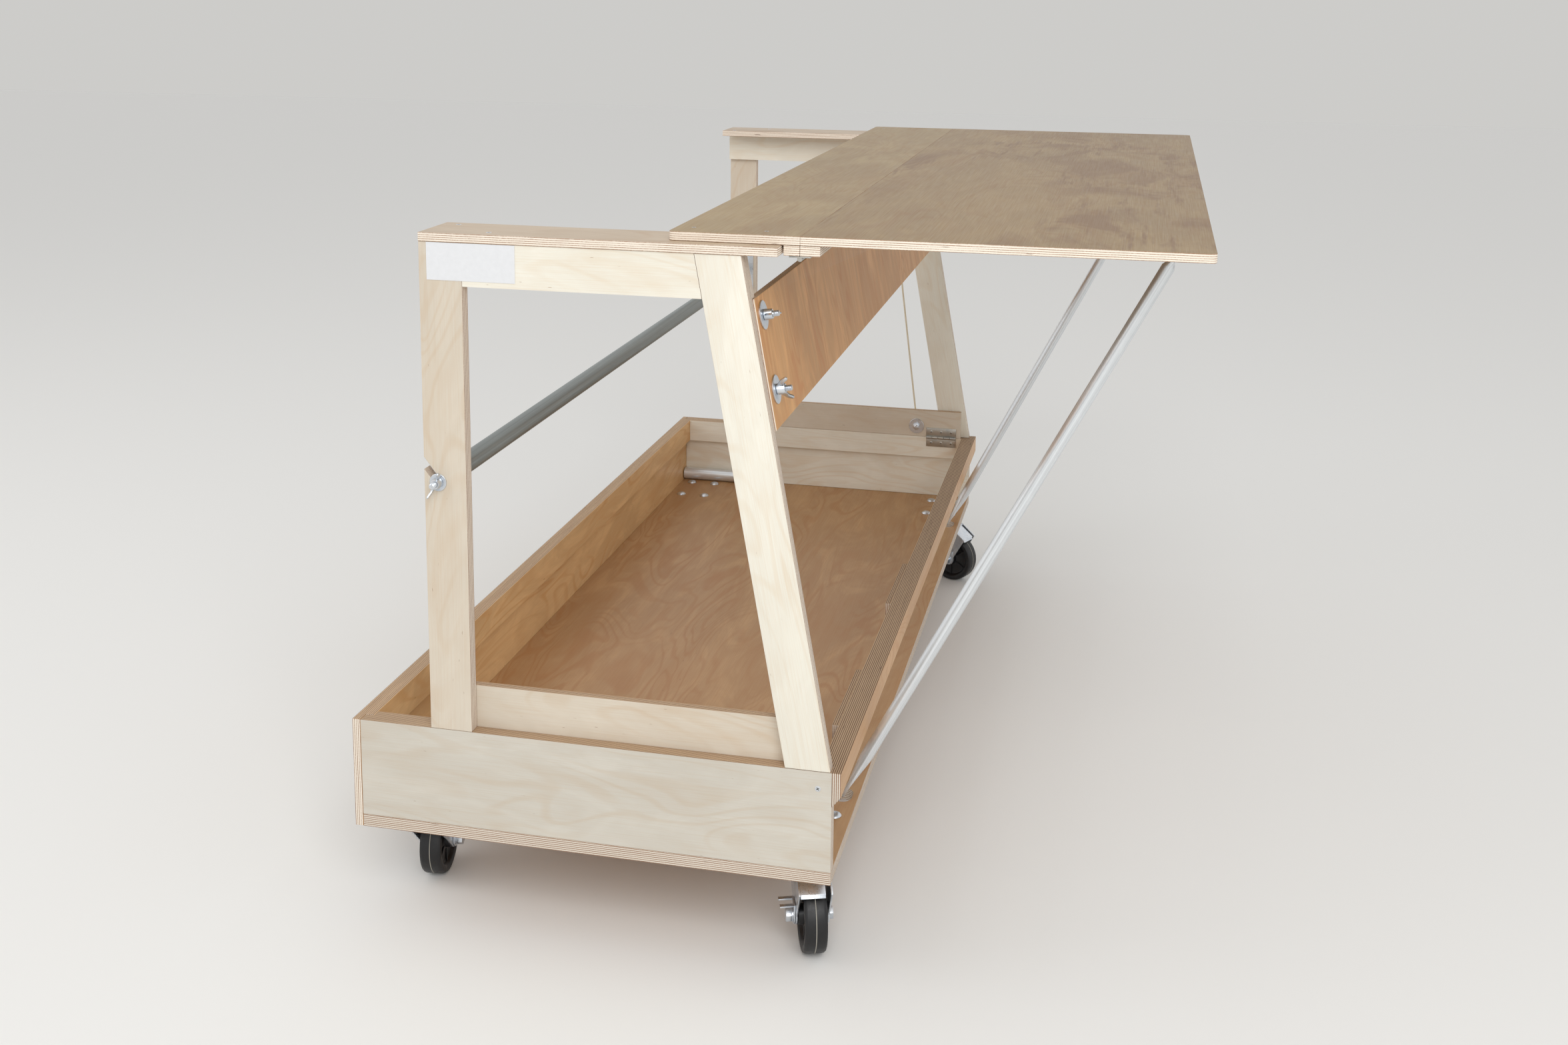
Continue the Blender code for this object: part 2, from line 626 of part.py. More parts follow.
def cleat_mesh(end):
    """Cleat behind one end of the apron, drilled for its bolts, in the tray's own axes."""
    start = (apron_length() - CLEAT_DEPTH) / 2
    span = BASE_LENGTH - 2 * (PLY + GAP)
    low, high = (-GAP - OVERRUN, CLEAT_WIDTH)
    if end == "far":
        low, high = (span - CLEAT_WIDTH, span + GAP + OVERRUN)
    outline = [(start, low), (start + CLEAT_DEPTH, low), (start + CLEAT_DEPTH, high), (start, high)]
    holes = [circle(run, y, HOLE_RADIUS, ROUND_SEGMENTS)
             for name, (run, y) in apron_bolt_places().items() if name.startswith(end)]
    mesh = sheet_mesh("cleat", [outline, *holes], PLY)
    depth = Matrix.Translation((0, 0, -THIN_PLY - GAP - PLY / 2))
    return moved(mesh, Matrix.Translation(-place(0, 0, 0)) @ apron_pose() @ depth)


def make_apron(woods, zinc, nut_mesh):
    """Slanted apron with its bolts, washers and wing nuts."""
    tilt = (0, RIGHT_ANGLE - SLANT_ANGLE, 0)
    length, width = apron_length(), BASE_LENGTH - 2 * (PLY + GAP)
    spots = apron_bolt_places()
    holes = [circle(run, y, HOLE_RADIUS, ROUND_SEGMENTS) for run, y in spots.values()]
    outline = [(0, 0), (length, 0), (length, width), (0, width)]
    matrix = apron_pose()
    centre = matrix @ Vector((0, 0, -THIN_PLY / 2))
    add_part("apron", sheet_mesh("apron", [outline, *holes], THIN_PLY), centre, woods["apron"], tilt)
    bolt = joined("apron_bolt", [bolt_mesh(THIN_PLY + PLY + 2 * GAP, BOLT_REACH),
                                 washer_mesh(FENDER_RADIUS)], smooth=True)
    for name, (run, y) in spots.items():
        add_part(f"apron_bolt_{name}", bolt, matrix @ Vector((run, y, 0)), zinc, tilt)
        seat = matrix @ Vector((run, y, WASHER_THICK + 2 * GAP))
        nut = add_part(f"wing_nut_{name}", nut_mesh, seat, zinc)
        spin = Matrix.Rotation(APRON_NUT_TURNS[name], 4, "Z")
        nut.rotation_euler = (matrix @ spin).to_euler()


def bolt_mesh(grip, reach):
    """Round headed bolt along Z: head below -grip, end at reach past the face at z = 0."""
    head = -grip - BOLT_HEAD_HEIGHT
    dome_width, dome_height = BOLT_DOME_SHARES
    profile = [(0, reach), (BOLT_RADIUS, reach), (BOLT_RADIUS, -grip), (BOLT_HEAD_RADIUS, -grip),
               (BOLT_HEAD_RADIUS * dome_width, head + BOLT_HEAD_HEIGHT * dome_height), (0, head)]
    return turned_mesh("bolt", profile, ROUND_SEGMENTS)


def washer_mesh(radius):
    """Flat washer standing GAP off the face at z = 0, tight round its bolt."""
    low, high = GAP, GAP + WASHER_THICK
    profile = [(0, high), (radius, high), (radius, low), (0, low)]
    return turned_mesh("washer", profile, ROUND_SEGMENTS + SMALL_SEGMENTS)


def wing_nut_mesh():
    """Wing nut standing on z = 0 with its bore along Z."""
    profile = [(HOLE_RADIUS, HUB_HEIGHT), (HUB_TOP_RADIUS, HUB_HEIGHT), (HUB_RADIUS, 0), (HOLE_RADIUS, 0)]
    hub = turned_mesh("wing_nut", profile, ROUND_SEGMENTS, ring=True)
    wings = []
    for side in (0, math.pi):
        outline = [(WING_ROOT + x * WING_REACH, z * HUB_HEIGHT) for x, z in WING_OUTLINE_SHARES]
        wing = sheet_mesh("wing", [outline], WING_THICK)
        wings.append(moved(wing, Matrix.Rotation(side, 4, "Z") @ Matrix.Rotation(RIGHT_ANGLE, 4, "X")))
    return combined("wing_nut", hub, wings, "UNION", smooth=True)


def make_bar(zinc, tube_steel, nut_mesh):
    """Hanging tube between the left legs with its end bolts and washers, and the wing nuts."""
    start = PLY + GAP + PLATE_THICK + GAP
    half = BASE_LENGTH / 2 - start
    inner = BAR_RADIUS - BAR_WALL
    profile = [(inner, half), (BAR_RADIUS, half), (BAR_RADIUS, -half), (inner, -half)]
    pieces = [turned_mesh("bar", profile, TUBE_SEGMENTS, ring=True)]
    shank = [(0, BOLT_REACH), (BOLT_RADIUS, BOLT_REACH), (BOLT_RADIUS, -start - PLUG_RECESS),
             (inner + BAR_WALL / 2, -start - PLUG_RECESS),
             (inner + BAR_WALL / 2, -start - PLUG_RECESS - PLUG_LENGTH),
             (0, -start - PLUG_RECESS - PLUG_LENGTH)]
    for turn in (0, math.pi):
        face = Matrix.Rotation(turn, 4, "X") @ Matrix.Translation((0, 0, BASE_LENGTH / 2))
        pieces.append(moved(turned_mesh("bar_bolt", shank, ROUND_SEGMENTS), face))
        pieces.append(moved(washer_mesh(BAR_WASHER_RADIUS), face))
    drill = turned_mesh("drill", [(0, BAR_RADIUS + OVERRUN), (VENT_RADIUS, BAR_RADIUS + OVERRUN),
                                  (VENT_RADIUS, BAR_RADIUS / 2), (0, BAR_RADIUS / 2)], SMALL_SEGMENTS)
    moved(drill, Matrix.Translation((0, 0, half / 2)) @ Matrix.Rotation(RIGHT_ANGLE, 4, "X"))
    pieces[0] = combined("bar", pieces[0], [drill], "DIFFERENCE")
    bar = joined("bar", pieces, smooth=True)
    add_part("bar", bar, place(BAR_X, BASE_LENGTH / 2, BAR_HEIGHT), tube_steel, UPRIGHT)
    seat = Vector((0, 0, WASHER_THICK + 2 * GAP))
    for end in END_NAMES:
        matrix = pose(place(BAR_X, end_y(0, end), BAR_HEIGHT), end_turn(end))
        nut = add_part(f"wing_nut_bar_{end}", nut_mesh, matrix @ seat, zinc)
        spin = Matrix.Rotation(BAR_NUT_TURNS[end], 4, "Z")
        nut.rotation_euler = (matrix @ spin).to_euler()


def make_slot_plates(zinc):
    """Thin plates that line the slots on the legs' inner faces."""
    right, high = SLOT_PLATE_LEFT + SLOT_PLATE_WIDTH, SLOT_PLATE_LOW + SLOT_PLATE_DEPTH
    outline = [(SLOT_PLATE_LEFT, SLOT_PLATE_LOW), *slot_path(SLOT_PLATE_LEFT),
               (SLOT_PLATE_LEFT, high), (right, high), (right, SLOT_PLATE_LOW)]
    depth = PLY + GAP + PLATE_THICK / 2
    for end in END_NAMES:
        mesh = sheet_mesh("slot_plate", [outline], PLATE_THICK)
        add_part(f"slot_plate_{end}", mesh, place(0, end_y(depth, end), 0), zinc, UPRIGHT)


def strut_tilt(end):
    """Lean of a strut from upright: local Z runs up along it, local X along its pin."""
    return math.atan2(STRUT_HEAD_X[end] - STRUT_FOOT_X, STRUT_HEAD_HEIGHT - DECK_TOP)


def strut_length(end):
    """Distance from the head pin's axis down to the foot's end."""
    return (STRUT_HEAD_HEIGHT - DECK_TOP - STRUT_FOOT_RISE) / math.cos(strut_tilt(end))


def strut_sections(length):
    """Heights along the strut, pin at z = 0, each with its section's half sizes."""
    end, corner = (STRUT_FLAT_HALF, STRUT_END_WIDE), (STRUT_FLAT_HALF, STRUT_FLAT_WIDE)
    tube = (STRUT_RADIUS, STRUT_RADIUS)
    high, low = STRUT_END_MARGIN, -length
    pressed_high = high - STRUT_FLAT_LENGTH
    pressed_low = low + STRUT_FOOT_FLAT
    return [(high, end), (high - STRUT_END_CORNER, corner), (pressed_high, corner),
            (pressed_high - STRUT_TAPER_LENGTH, tube), (pressed_low + STRUT_FOOT_TAPER, tube),
            (pressed_low, corner), (low + STRUT_END_CORNER, corner), (low, end)]


def strut_mesh(length):
    """Tube pressed flat at both ends: rings of unlike section bridged in one loft."""
    work = bmesh.new()
    half_step = Matrix.Rotation(math.pi / TUBE_SEGMENTS, 4, "Z")
    rings = []
    for height, (half_x, half_y) in strut_sections(length):
        ring = bmesh.ops.create_circle(work, segments=TUBE_SEGMENTS, radius=1, matrix=half_step)["verts"]
        for vert in ring:
            x = math.copysign(1, vert.co.x) if half_x < half_y else vert.co.x
            vert.co = (half_x * x, half_y * vert.co.y, height)
        rings.append(list({edge for vert in ring for edge in vert.link_edges}))
    for upper, lower in zip(rings, rings[1:]):
        bmesh.ops.bridge_loops(work, edges=upper + lower)
    bmesh.ops.edgeloop_fill(work, edges=rings[0])
    bmesh.ops.edgeloop_fill(work, edges=rings[-1])
    mesh = bpy.data.meshes.new("strut")
    work.to_mesh(mesh)
    work.free()
    finished(mesh)
    reach = STRUT_FLAT_HALF + OVERRUN
    drill = turned_mesh("drill", [(0, reach), (PIN_HOLE_RADIUS, reach), (PIN_HOLE_RADIUS, -reach),
                                  (0, -reach)], ROUND_SEGMENTS)
    moved(drill, Matrix.Rotation(RIGHT_ANGLE, 4, "Y"))
    return combined("strut", mesh, [drill], "DIFFERENCE", smooth=True)


def pin_mesh(low, high):
    """Short bolt along X through a flat of the strut: head at high, nut at low."""
    profile = [(0, high + PIN_HEAD_HEIGHT), (PIN_HEAD_RADIUS, high + PIN_HEAD_HEIGHT),
               (PIN_HEAD_RADIUS, high), (PIN_RADIUS, high), (PIN_RADIUS, low), (PIN_HEAD_RADIUS, low),
               (PIN_HEAD_RADIUS, low - PIN_HEAD_HEIGHT), (0, low - PIN_HEAD_HEIGHT)]
    mesh = turned_mesh("pin", profile, SMALL_SEGMENTS)
    return moved(mesh, Matrix.Rotation(RIGHT_ANGLE, 4, "Y"))


def make_struts(zinc, tube_steel):
    """Two struts, and their bent brackets with head pins under the outer leaf."""
    face = STRUT_FLAT_HALF + GAP
    for end in END_NAMES:
        tilt, length = strut_tilt(end), strut_length(end)
        strut = strut_mesh(length)
        pin = pin_mesh(-face, face + TAB_THICK)
        plate = bracket_mesh(tilt, face, LEAF_LOW - GAP - STRUT_HEAD_HEIGHT)
        bracket = joined(f"strut_bracket_{end}", [plate, pin])
        head = place(STRUT_HEAD_X[end], end_y(STRUT_INSET[end], end), STRUT_HEAD_HEIGHT)
        add_part(f"strut_{end}", strut, head, tube_steel, (0, tilt, 0))
        add_part(f"strut_bracket_{end}", bracket, head, zinc, (0, tilt, 0))


def bracket_mesh(tilt, face, top):
    """Bent plate in strut axes: a drilled tab beside the flat and a flange level with the leaf."""
    along = Vector((-math.sin(tilt), math.cos(tilt)))
    across = Vector((math.cos(tilt), math.sin(tilt)))
    outer = face + TAB_THICK

    def at_height(x, height):
        """Point on the line of this local x that lies at a height above the pin."""
        return (x, (height + x * math.sin(tilt)) / math.cos(tilt))

    inner_top = at_height(face, top)
    outer_low = at_height(outer, top - TAB_THICK)
    tip = Vector(inner_top) + across * (BRACKET_FLANGE)
    under = tip - along * TAB_THICK
    outline = [(face, -TAB_DROP), (outer, -TAB_DROP), outer_low, tuple(under), tuple(tip), inner_top]
    plate = sheet_mesh("bracket", [outline], BRACKET_WIDTH)
    return moved(plate, Matrix.Rotation(RIGHT_ANGLE, 4, "X"))


def make_base_hinges(steel):
    """Butt hinges between the end panels and the lower rails, pins on the wall's top line."""
    hinge = butt_hinge_mesh()
    for end in END_NAMES:
        spot = place(BASE_HINGE_X, end_y(LINING + GAP, end), WALL_TOP)
        add_part(f"base_hinge_{end}", hinge, spot, steel, in_turn(end))


def deck_bolt_places():
    """Centres of the caster bolts on the deck."""
    return [(x + dx * PATTERN_WIDTH / 2, y + dy * PATTERN_LENGTH / 2)
            for x in PLATE_X.values() for y in (end_y(PLATE_INSET, end) for end in END_NAMES)
            for dx in (-1, 1) for dy in (-1, 1)]


def make_caster_plates(zinc):
    """Caster top plates, each with its race, kingpin and the bolts through the deck."""
    low, high = -GAP - PLATE_STEEL, -GAP
    outline = rounded((-PLATE_WIDTH / 2, PLATE_WIDTH / 2), (-PLATE_LENGTH / 2, PLATE_LENGTH / 2),
                      [PLATE_CORNER] * 4, 2)
    pieces = [moved(sheet_mesh("plate", [outline], PLATE_STEEL),
                    Matrix.Translation((0, 0, (low + high) / 2)))]
    middle = (low + high) / 2
    race_low = low - RACE_HEIGHT
    head = race_low - 2 * GAP - CROWN_HEIGHT - YOKE_STEEL
    pieces.append(turned_mesh("race", [
        (0, middle), (RACE_RADIUS, middle), (RACE_RADIUS, race_low), (KING_RADIUS, race_low),
        (KING_RADIUS, head), (KING_HEAD_RADIUS, head), (KING_HEAD_RADIUS, head - KING_HEAD_HEIGHT),
        (0, head - KING_HEAD_HEIGHT)], ROUND_SEGMENTS))
    nut_low = low - DECK_NUT_HEIGHT
    head_low = DECK_TOP + GAP
    dome_width, dome_height = DECK_DOME_SHARES
    for dx in (-1, 1):
        for dy in (-1, 1):
            bolt = turned_mesh("deck_bolt", [
                (0, head_low + DECK_HEAD_HEIGHT),
                (DECK_HEAD_RADIUS * dome_width, head_low + DECK_HEAD_HEIGHT * dome_height),
                (DECK_HEAD_RADIUS, head_low), (DECK_BOLT_RADIUS, head_low),
                (DECK_BOLT_RADIUS, middle), (DECK_NUT_RADIUS, middle), (DECK_NUT_RADIUS, nut_low),
                (0, nut_low)], SMALL_SEGMENTS)
            where = (dx * PATTERN_WIDTH / 2, dy * PATTERN_LENGTH / 2, 0)
            pieces.append(moved(bolt, Matrix.Translation(where)))
    plate = joined("caster_plate", pieces, smooth=True)
    for side, x in PLATE_X.items():
        for end in END_NAMES:
            add_part(f"caster_plate_{side}_{end}", plate, place(x, end_y(PLATE_INSET, end), 0), zinc)


def yoke_mesh(plate_high, cheek_in):
    """Bent sheet over the wheel: two cheeks, a front skirt and a sloping shield behind."""
    plate_low = plate_high - YOKE_STEEL
    slope = math.atan2(SHIELD_DROP, SHIELD_REACH - SHIELD_START)
    down = Vector((math.cos(slope), -math.sin(slope)))
    tip = Vector((SHIELD_REACH, plate_high - SHIELD_DROP))
    under = tip - Vector((math.sin(slope), math.cos(slope))) * YOKE_STEEL
    clear = under + down * OVERRUN
    bend = SHIELD_START - YOKE_STEEL * math.tan(slope / 2)
    front, floor = YOKE_STEEL - YOKE_FRONT, -AXLE_DROP - YOKE_BOSS - OVERRUN
    boss = circle(TRAIL, -AXLE_DROP, YOKE_BOSS, SMALL_SEGMENTS, YOKE_BOSS_START, YOKE_BOSS_SWEEP)
    side = [(-YOKE_FRONT, plate_high), (-YOKE_FRONT, plate_low - YOKE_FRONT_DEPTH), *boss,
            tuple(under), tuple(tip), (SHIELD_START, plate_high)]
    inside = [(front, plate_low), (front, floor), (clear.x, floor), tuple(clear), (bend, plate_low)]
    upright = Matrix.Rotation(RIGHT_ANGLE, 4, "X")
    block = moved(sheet_mesh("yoke", [side], 2 * (cheek_in + YOKE_STEEL)), upright)
    room = moved(sheet_mesh("room", [inside], 2 * cheek_in), upright)
    drill = turned_mesh("drill", [(0, plate_high + OVERRUN), (KING_HOLE_RADIUS, plate_high + OVERRUN),
                                  (KING_HOLE_RADIUS, plate_low - OVERRUN), (0, plate_low - OVERRUN)],
                        ROUND_SEGMENTS)
    return combined("yoke", block, [room, drill], "DIFFERENCE")


def fork_mesh():
    """Fork about the swivel axis: its yoke, crown and axle bolt."""
    crown_high = -GAP - PLATE_STEEL - RACE_HEIGHT - GAP
    plate_high = crown_high - CROWN_HEIGHT
    cheek_in = HUB_HALF_WIDTH + GAP
    cheek_out = cheek_in + YOKE_STEEL
    crown_bore = KING_HOLE_RADIUS + GAP
    crown = turned_mesh("crown", [(crown_bore, crown_high), (CROWN_RADIUS, crown_high),
                                  (CROWN_RADIUS, plate_high - YOKE_STEEL / 2),
                                  (crown_bore, plate_high - YOKE_STEEL / 2)], ROUND_SEGMENTS, ring=True)
    brake_out = cheek_out + GAP + BRAKE_STEEL + GAP
    nut_in = cheek_out - YOKE_STEEL / 2
    axle = turned_mesh("axle", [
        (0, brake_out + AXLE_HEAD_HEIGHT), (AXLE_HEAD_RADIUS, brake_out + AXLE_HEAD_HEIGHT),
        (AXLE_HEAD_RADIUS, brake_out), (AXLE_RADIUS, brake_out), (AXLE_RADIUS, -nut_in),
        (AXLE_HEAD_RADIUS, -nut_in), (AXLE_HEAD_RADIUS, -cheek_out - AXLE_HEAD_HEIGHT),
        (0, -cheek_out - AXLE_HEAD_HEIGHT)], ROUND_SEGMENTS)
    axle_pose = Matrix.Translation((TRAIL, 0, -AXLE_DROP)) @ Matrix.Rotation(RIGHT_ANGLE, 4, "X")
    yoke = yoke_mesh(plate_high, cheek_in)
    return joined("fork", [yoke, crown, moved(axle, axle_pose)], smooth=True)


def wheel_mesh():
    """Wheel about Z, ribbed in at the web, with rounded tread shoulders."""
    rows = [(AXLE_HOLE_RADIUS, HUB_HALF_WIDTH), (WHEEL_HUB_RADIUS, HUB_HALF_WIDTH)]
    rows += [(WHEEL_RADIUS * out, WHEEL_HALF_WIDTH * up) for out, up in WHEEL_PROFILE_SHARES]
    profile = rows + [(radius, -height) for radius, height in reversed(rows)]
    return turned_mesh("wheel", profile, WHEEL_SEGMENTS, ring=True)


def brake_mesh():
    """Brake lever about its pivot: flat arm in XZ with two tabs bent outward along +Y."""
    arc = circle(0, 0, BRAKE_HUB, SMALL_SEGMENTS, 0, -math.pi)
    outline = [(BRAKE_HUB, 0), *arc[1:-1], (-BRAKE_HUB, 0), (-BRAKE_SPREAD, BRAKE_RISE),
               (BRAKE_SPREAD, BRAKE_RISE)]
    hole = circle(0, 0, AXLE_HOLE_RADIUS, ROUND_SEGMENTS)
    arm = moved(sheet_mesh("brake", [outline, hole], BRAKE_STEEL),
                Matrix.Translation((0, BRAKE_STEEL / 2, 0)) @ Matrix.Rotation(RIGHT_ANGLE, 4, "X"))
    tabs = []
    for side in (-1, 1):
        span = sorted((side * BRAKE_SPREAD, side * (BRAKE_SPREAD - BRAKE_TAB_WIDTH)))
        tabs.append(box_mesh("tab", [(span, (0, BRAKE_TAB_REACH),
                                      (BRAKE_RISE - BRAKE_STEEL, BRAKE_RISE))]))
    return combined("brake", arm, tabs, "UNION")


def make_casters(zinc, rubber):
    """Four forks on their swivel axes with wheels and brake levers on the axles."""
    fork, wheel, brake = fork_mesh(), wheel_mesh(), brake_mesh()
    arm_in = HUB_HALF_WIDTH + GAP + YOKE_STEEL + GAP
    for (side, end), turn in CASTER_TURNS.items():
        swivel = place(PLATE_X[side], end_y(PLATE_INSET, end), 0)
        spin = Matrix.Rotation(turn, 4, "Z")
        axle = swivel + spin @ Vector((TRAIL, 0, -AXLE_DROP))
        arm = swivel + spin @ Vector((TRAIL, -arm_in, -AXLE_DROP))
        tag = f"{side}_{end}"
        add_part(f"fork_{tag}", fork, swivel, zinc, (0, 0, turn))
        add_part(f"wheel_{tag}", wheel, axle, rubber, (RIGHT_ANGLE, 0, turn))
        add_part(f"brake_{tag}", brake, arm, zinc, (0, 0, turn + math.pi))


def make_rail_bolts(zinc):
    """Bolts with fender washers and nuts on the far lower rail's inner face."""
    nut_low = GAP + WASHER_THICK / 2
    nut = turned_mesh("nut", [(0, nut_low + NUT_HEIGHT), (NUT_RADIUS, nut_low + NUT_HEIGHT),
                              (NUT_RADIUS, nut_low), (0, nut_low)], SMALL_SEGMENTS)
    bolt = joined("rail_bolt", [bolt_mesh(THIN_PLY + GAP, NUT_HEIGHT * 2),
                                washer_mesh(RAIL_WASHER_RADIUS), nut], smooth=True)
    for side, (x, z) in RAIL_BOLTS.items():
        spot = place(x, end_y(LINING, "far"), z)
        add_part(f"rail_bolt_{side}", bolt, spot, zinc, in_turn("far"))


def make_small_parts(tube_steel, stay_steel):
    """Loose tube on the deck and the thin round stay in the far frame."""
    half = LOOSE_LENGTH / 2
    inner = LOOSE_RADIUS - LOOSE_WALL
    profile = [(inner, half), (LOOSE_RADIUS, half), (LOOSE_RADIUS, -half), (inner, -half)]
    spot = place(LOOSE_START + half, BASE_LENGTH - LOOSE_INSET, DECK_TOP + GAP + LOOSE_RADIUS)
    tube = turned_mesh("loose_tube", profile, TUBE_SEGMENTS, ring=True)
    add_part("loose_tube", tube, spot, tube_steel, (0, RIGHT_ANGLE, 0))
    foot = Vector((STAY_FOOT_X, LEG_FOOT))
    head = Vector((STAY_HEAD_X, UPPER_LOW))
    half = (head - foot).length / 2 - STAY_END
    lean = math.atan2(STAY_HEAD_X - STAY_FOOT_X, UPPER_LOW - LEG_FOOT)
    rod = turned_mesh("stay", [(0, half), (STAY_RADIUS, half), (STAY_RADIUS, -half), (0, -half)],
                      SMALL_SEGMENTS)
    middle = (foot + head) / 2
    spot = place(middle.x, end_y(STAY_INSET, "far"), middle.y)
    add_part("stay_rod", rod, spot, stay_steel, (0, lean, 0))


def main():
    for item in list(bpy.data.objects):
        bpy.data.objects.remove(item)
    table = bpy.data.collections.new("pasting_table")
    bpy.context.scene.collection.children.link(table)
    woods = {
        "top": material("table leaf birch", (0.371, 0.283, 0.195), 0.45),
        "panel": material("end panel birch", (0.665, 0.597, 0.485), 0.5),
        "leg": material("leg birch", (0.694, 0.597, 0.462), 0.5),
        "slanted_leg": material("slanted leg birch", (0.90, 0.86, 0.75), 0.5),
        "cap": material("cap birch", (0.62, 0.52, 0.38), 0.5),
        "apron": material("apron birch", (0.41, 0.26, 0.14), 0.5),
        "cleat": material("cleat birch", (0.42, 0.29, 0.17), 0.55),
        "deck": material("deck ply", (0.31, 0.19, 0.107), 0.5),
        "wall": material("wall ply", (0.30, 0.133, 0.047), 0.5),
        "rail": material("front rail ply", (0.23, 0.137, 0.076), 0.5),
        "batten": material("batten birch", (0.45, 0.34, 0.22), 0.5),
    }
    zinc = material("zinc plated steel", (0.62, 0.62, 0.60), 0.35, 1.0)
    hinge_steel = material("hinge steel", (0.45, 0.44, 0.42), 0.4, 1.0)
    bar_steel = material("galvanised bar", (0.30, 0.32, 0.33), 0.42, 1.0)
    strut_steel = material("galvanised strut", (0.62, 0.65, 0.68), 0.38, 1.0)
    rubber = material("black rubber", (0.022, 0.022, 0.024), 0.7)
    stay = material("stay steel", (0.80, 0.76, 0.66), 0.4, 0.4)
    nut_mesh = wing_nut_mesh()
    make_tray(woods)
    make_frames(woods)
    make_top(woods, hinge_steel)
    make_apron(woods, zinc, nut_mesh)
    make_bar(zinc, bar_steel, nut_mesh)
    make_slot_plates(zinc)
    make_struts(zinc, strut_steel)
    make_base_hinges(hinge_steel)
    make_caster_plates(zinc)
    make_casters(zinc, rubber)
    make_rail_bolts(zinc)
    make_small_parts(bar_steel, stay)


if __name__ == "__main__":
    main()
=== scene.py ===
"""Woods, metals, rubber, fittings and a plain stage for the wheeled pasting table."""

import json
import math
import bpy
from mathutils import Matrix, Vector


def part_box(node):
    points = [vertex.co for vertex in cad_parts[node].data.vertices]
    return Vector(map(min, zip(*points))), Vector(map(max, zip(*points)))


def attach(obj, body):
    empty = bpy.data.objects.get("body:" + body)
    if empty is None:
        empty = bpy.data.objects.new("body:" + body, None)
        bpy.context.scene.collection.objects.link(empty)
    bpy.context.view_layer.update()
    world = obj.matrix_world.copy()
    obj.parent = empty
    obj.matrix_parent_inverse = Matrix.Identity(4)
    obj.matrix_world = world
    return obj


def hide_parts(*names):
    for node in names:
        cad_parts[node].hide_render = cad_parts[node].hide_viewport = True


bl_info = {
    "name": "Pasting table dressing",
    "version": (1, 0, 0),
    "blender": (4, 5, 0),
    "location": "3D View > Sidebar > Pasting Table",
    "description": "Dresses the pasting table's frame with plywood, zinc, tube and rubber pieces",
    "category": "Object",
}

import bmesh
import bpy
from bpy.props import FloatProperty, FloatVectorProperty, PointerProperty
from mathutils import Matrix, Vector

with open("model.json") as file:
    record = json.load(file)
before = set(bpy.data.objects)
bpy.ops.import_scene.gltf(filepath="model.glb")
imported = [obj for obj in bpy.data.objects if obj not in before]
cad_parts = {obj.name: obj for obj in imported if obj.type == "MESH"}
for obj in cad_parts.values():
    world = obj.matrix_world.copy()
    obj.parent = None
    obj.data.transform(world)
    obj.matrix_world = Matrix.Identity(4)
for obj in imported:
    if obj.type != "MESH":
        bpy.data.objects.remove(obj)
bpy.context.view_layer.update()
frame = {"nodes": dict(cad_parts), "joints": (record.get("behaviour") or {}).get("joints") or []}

MM = 0.001
RIGHT_ANGLE = math.pi / 2
FULL_TURN = 2 * math.pi
CORNER_ANGLE = math.radians(40)
ENDS = ("near", "far")
SIDES = ("left", "right")
X, Y, Z = Vector((1, 0, 0)), Vector((0, 1, 0)), Vector((0, 0, 1))
JOINTS = {joint["name"]: joint for joint in frame["joints"]}
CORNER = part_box("left_board")[0]

# Sizes in millimetres, turns in degrees, and places counted from the tray's near left lower corner
LENGTH = 1650.0
WALL_TOP = 158.0
FRAME_TOP = 834.0
CAP_TOP = 846.0
LEAF_TOP = 858.0
PLY = 18.0
THIN_PLY = 12.0
GAP = 0.3
SOFT_EDGE = 0.7
MERGE = 0.002
SLANT_FOOT = 615.0
SLANT_HEAD = 492.0
SLANT_WIDTH = 61.0
APRON_TOP = 775.7
APRON_PROUD = 2.5
CLEAT_WIDTH = 54.0
CLEAT_SPAN = (16.4, 156.4)
CLEAT_DEPTHS = (-30.3, -12.3)
BOLT_RADIUS = 4.0
BOLT_TIP = 22.0
WASHER_THICK = 1.8
NUT_SEAT = 2.4
FENDER_RADIUS = 19.0
RAIL_WASHER_RADIUS = 17.0
BAR_WASHER_RADIUS = 12.0
APRON_NUT_TURNS = {"near_low": 35, "far_low": -60, "near_high": 80, "far_high": 10}
BAR_NUT_TURNS = {"near": 65, "far": -30}
BAR_X = 138
BAR_HEIGHT = 508.6
BAR_END_INSET = 20.2
STRUT_FOOT = (654.5, 0, 19.4)
STRUT_RADIUS = 9
STRUT_FLAT_HALF = 2.0
WHEEL_RIBS = 6
TRAIL = 36
AXLE_DROP = 86
AXLE_RADIUS = 6
YOKE_HALF = 20.5
CHEEK_LOWS = (20.3, -23.3)
CHEEK_STEEL = 3
HINGE_HALF = 33.5
HINGE_THICK = 1.8
HINGE_X = 614.5
HINGE_INSET = 30.3
BASE_KNUCKLES = 5
LEAF_KNUCKLES = 62
KNUCKLE_RADIUS = 3.4
RAIL_BOLTS = (("left", 234.3), ("right", 558.0))
RAIL_BOLT_HEIGHT = 181.7
CAP_SCREWS = ((208.7, 19.8), (141.6, 76.4))
LEAF_SCREWS = ((475.4, 60.0), (573.7, 52.5))
LABEL_LOW = (129, -0.6, 783.5)
LABEL_HIGH = (252, -0.25, 833.5)

# The point that the lamps face and the camera's place, from the same corner, and its turn in radians
LAMP_AIM = (560, 800, 350)
CAMERA_PLACE = (1043.82, -1950.45, 1170.02)
CAMERA_TURN = (1.41476, -0.00825, 0.22104)

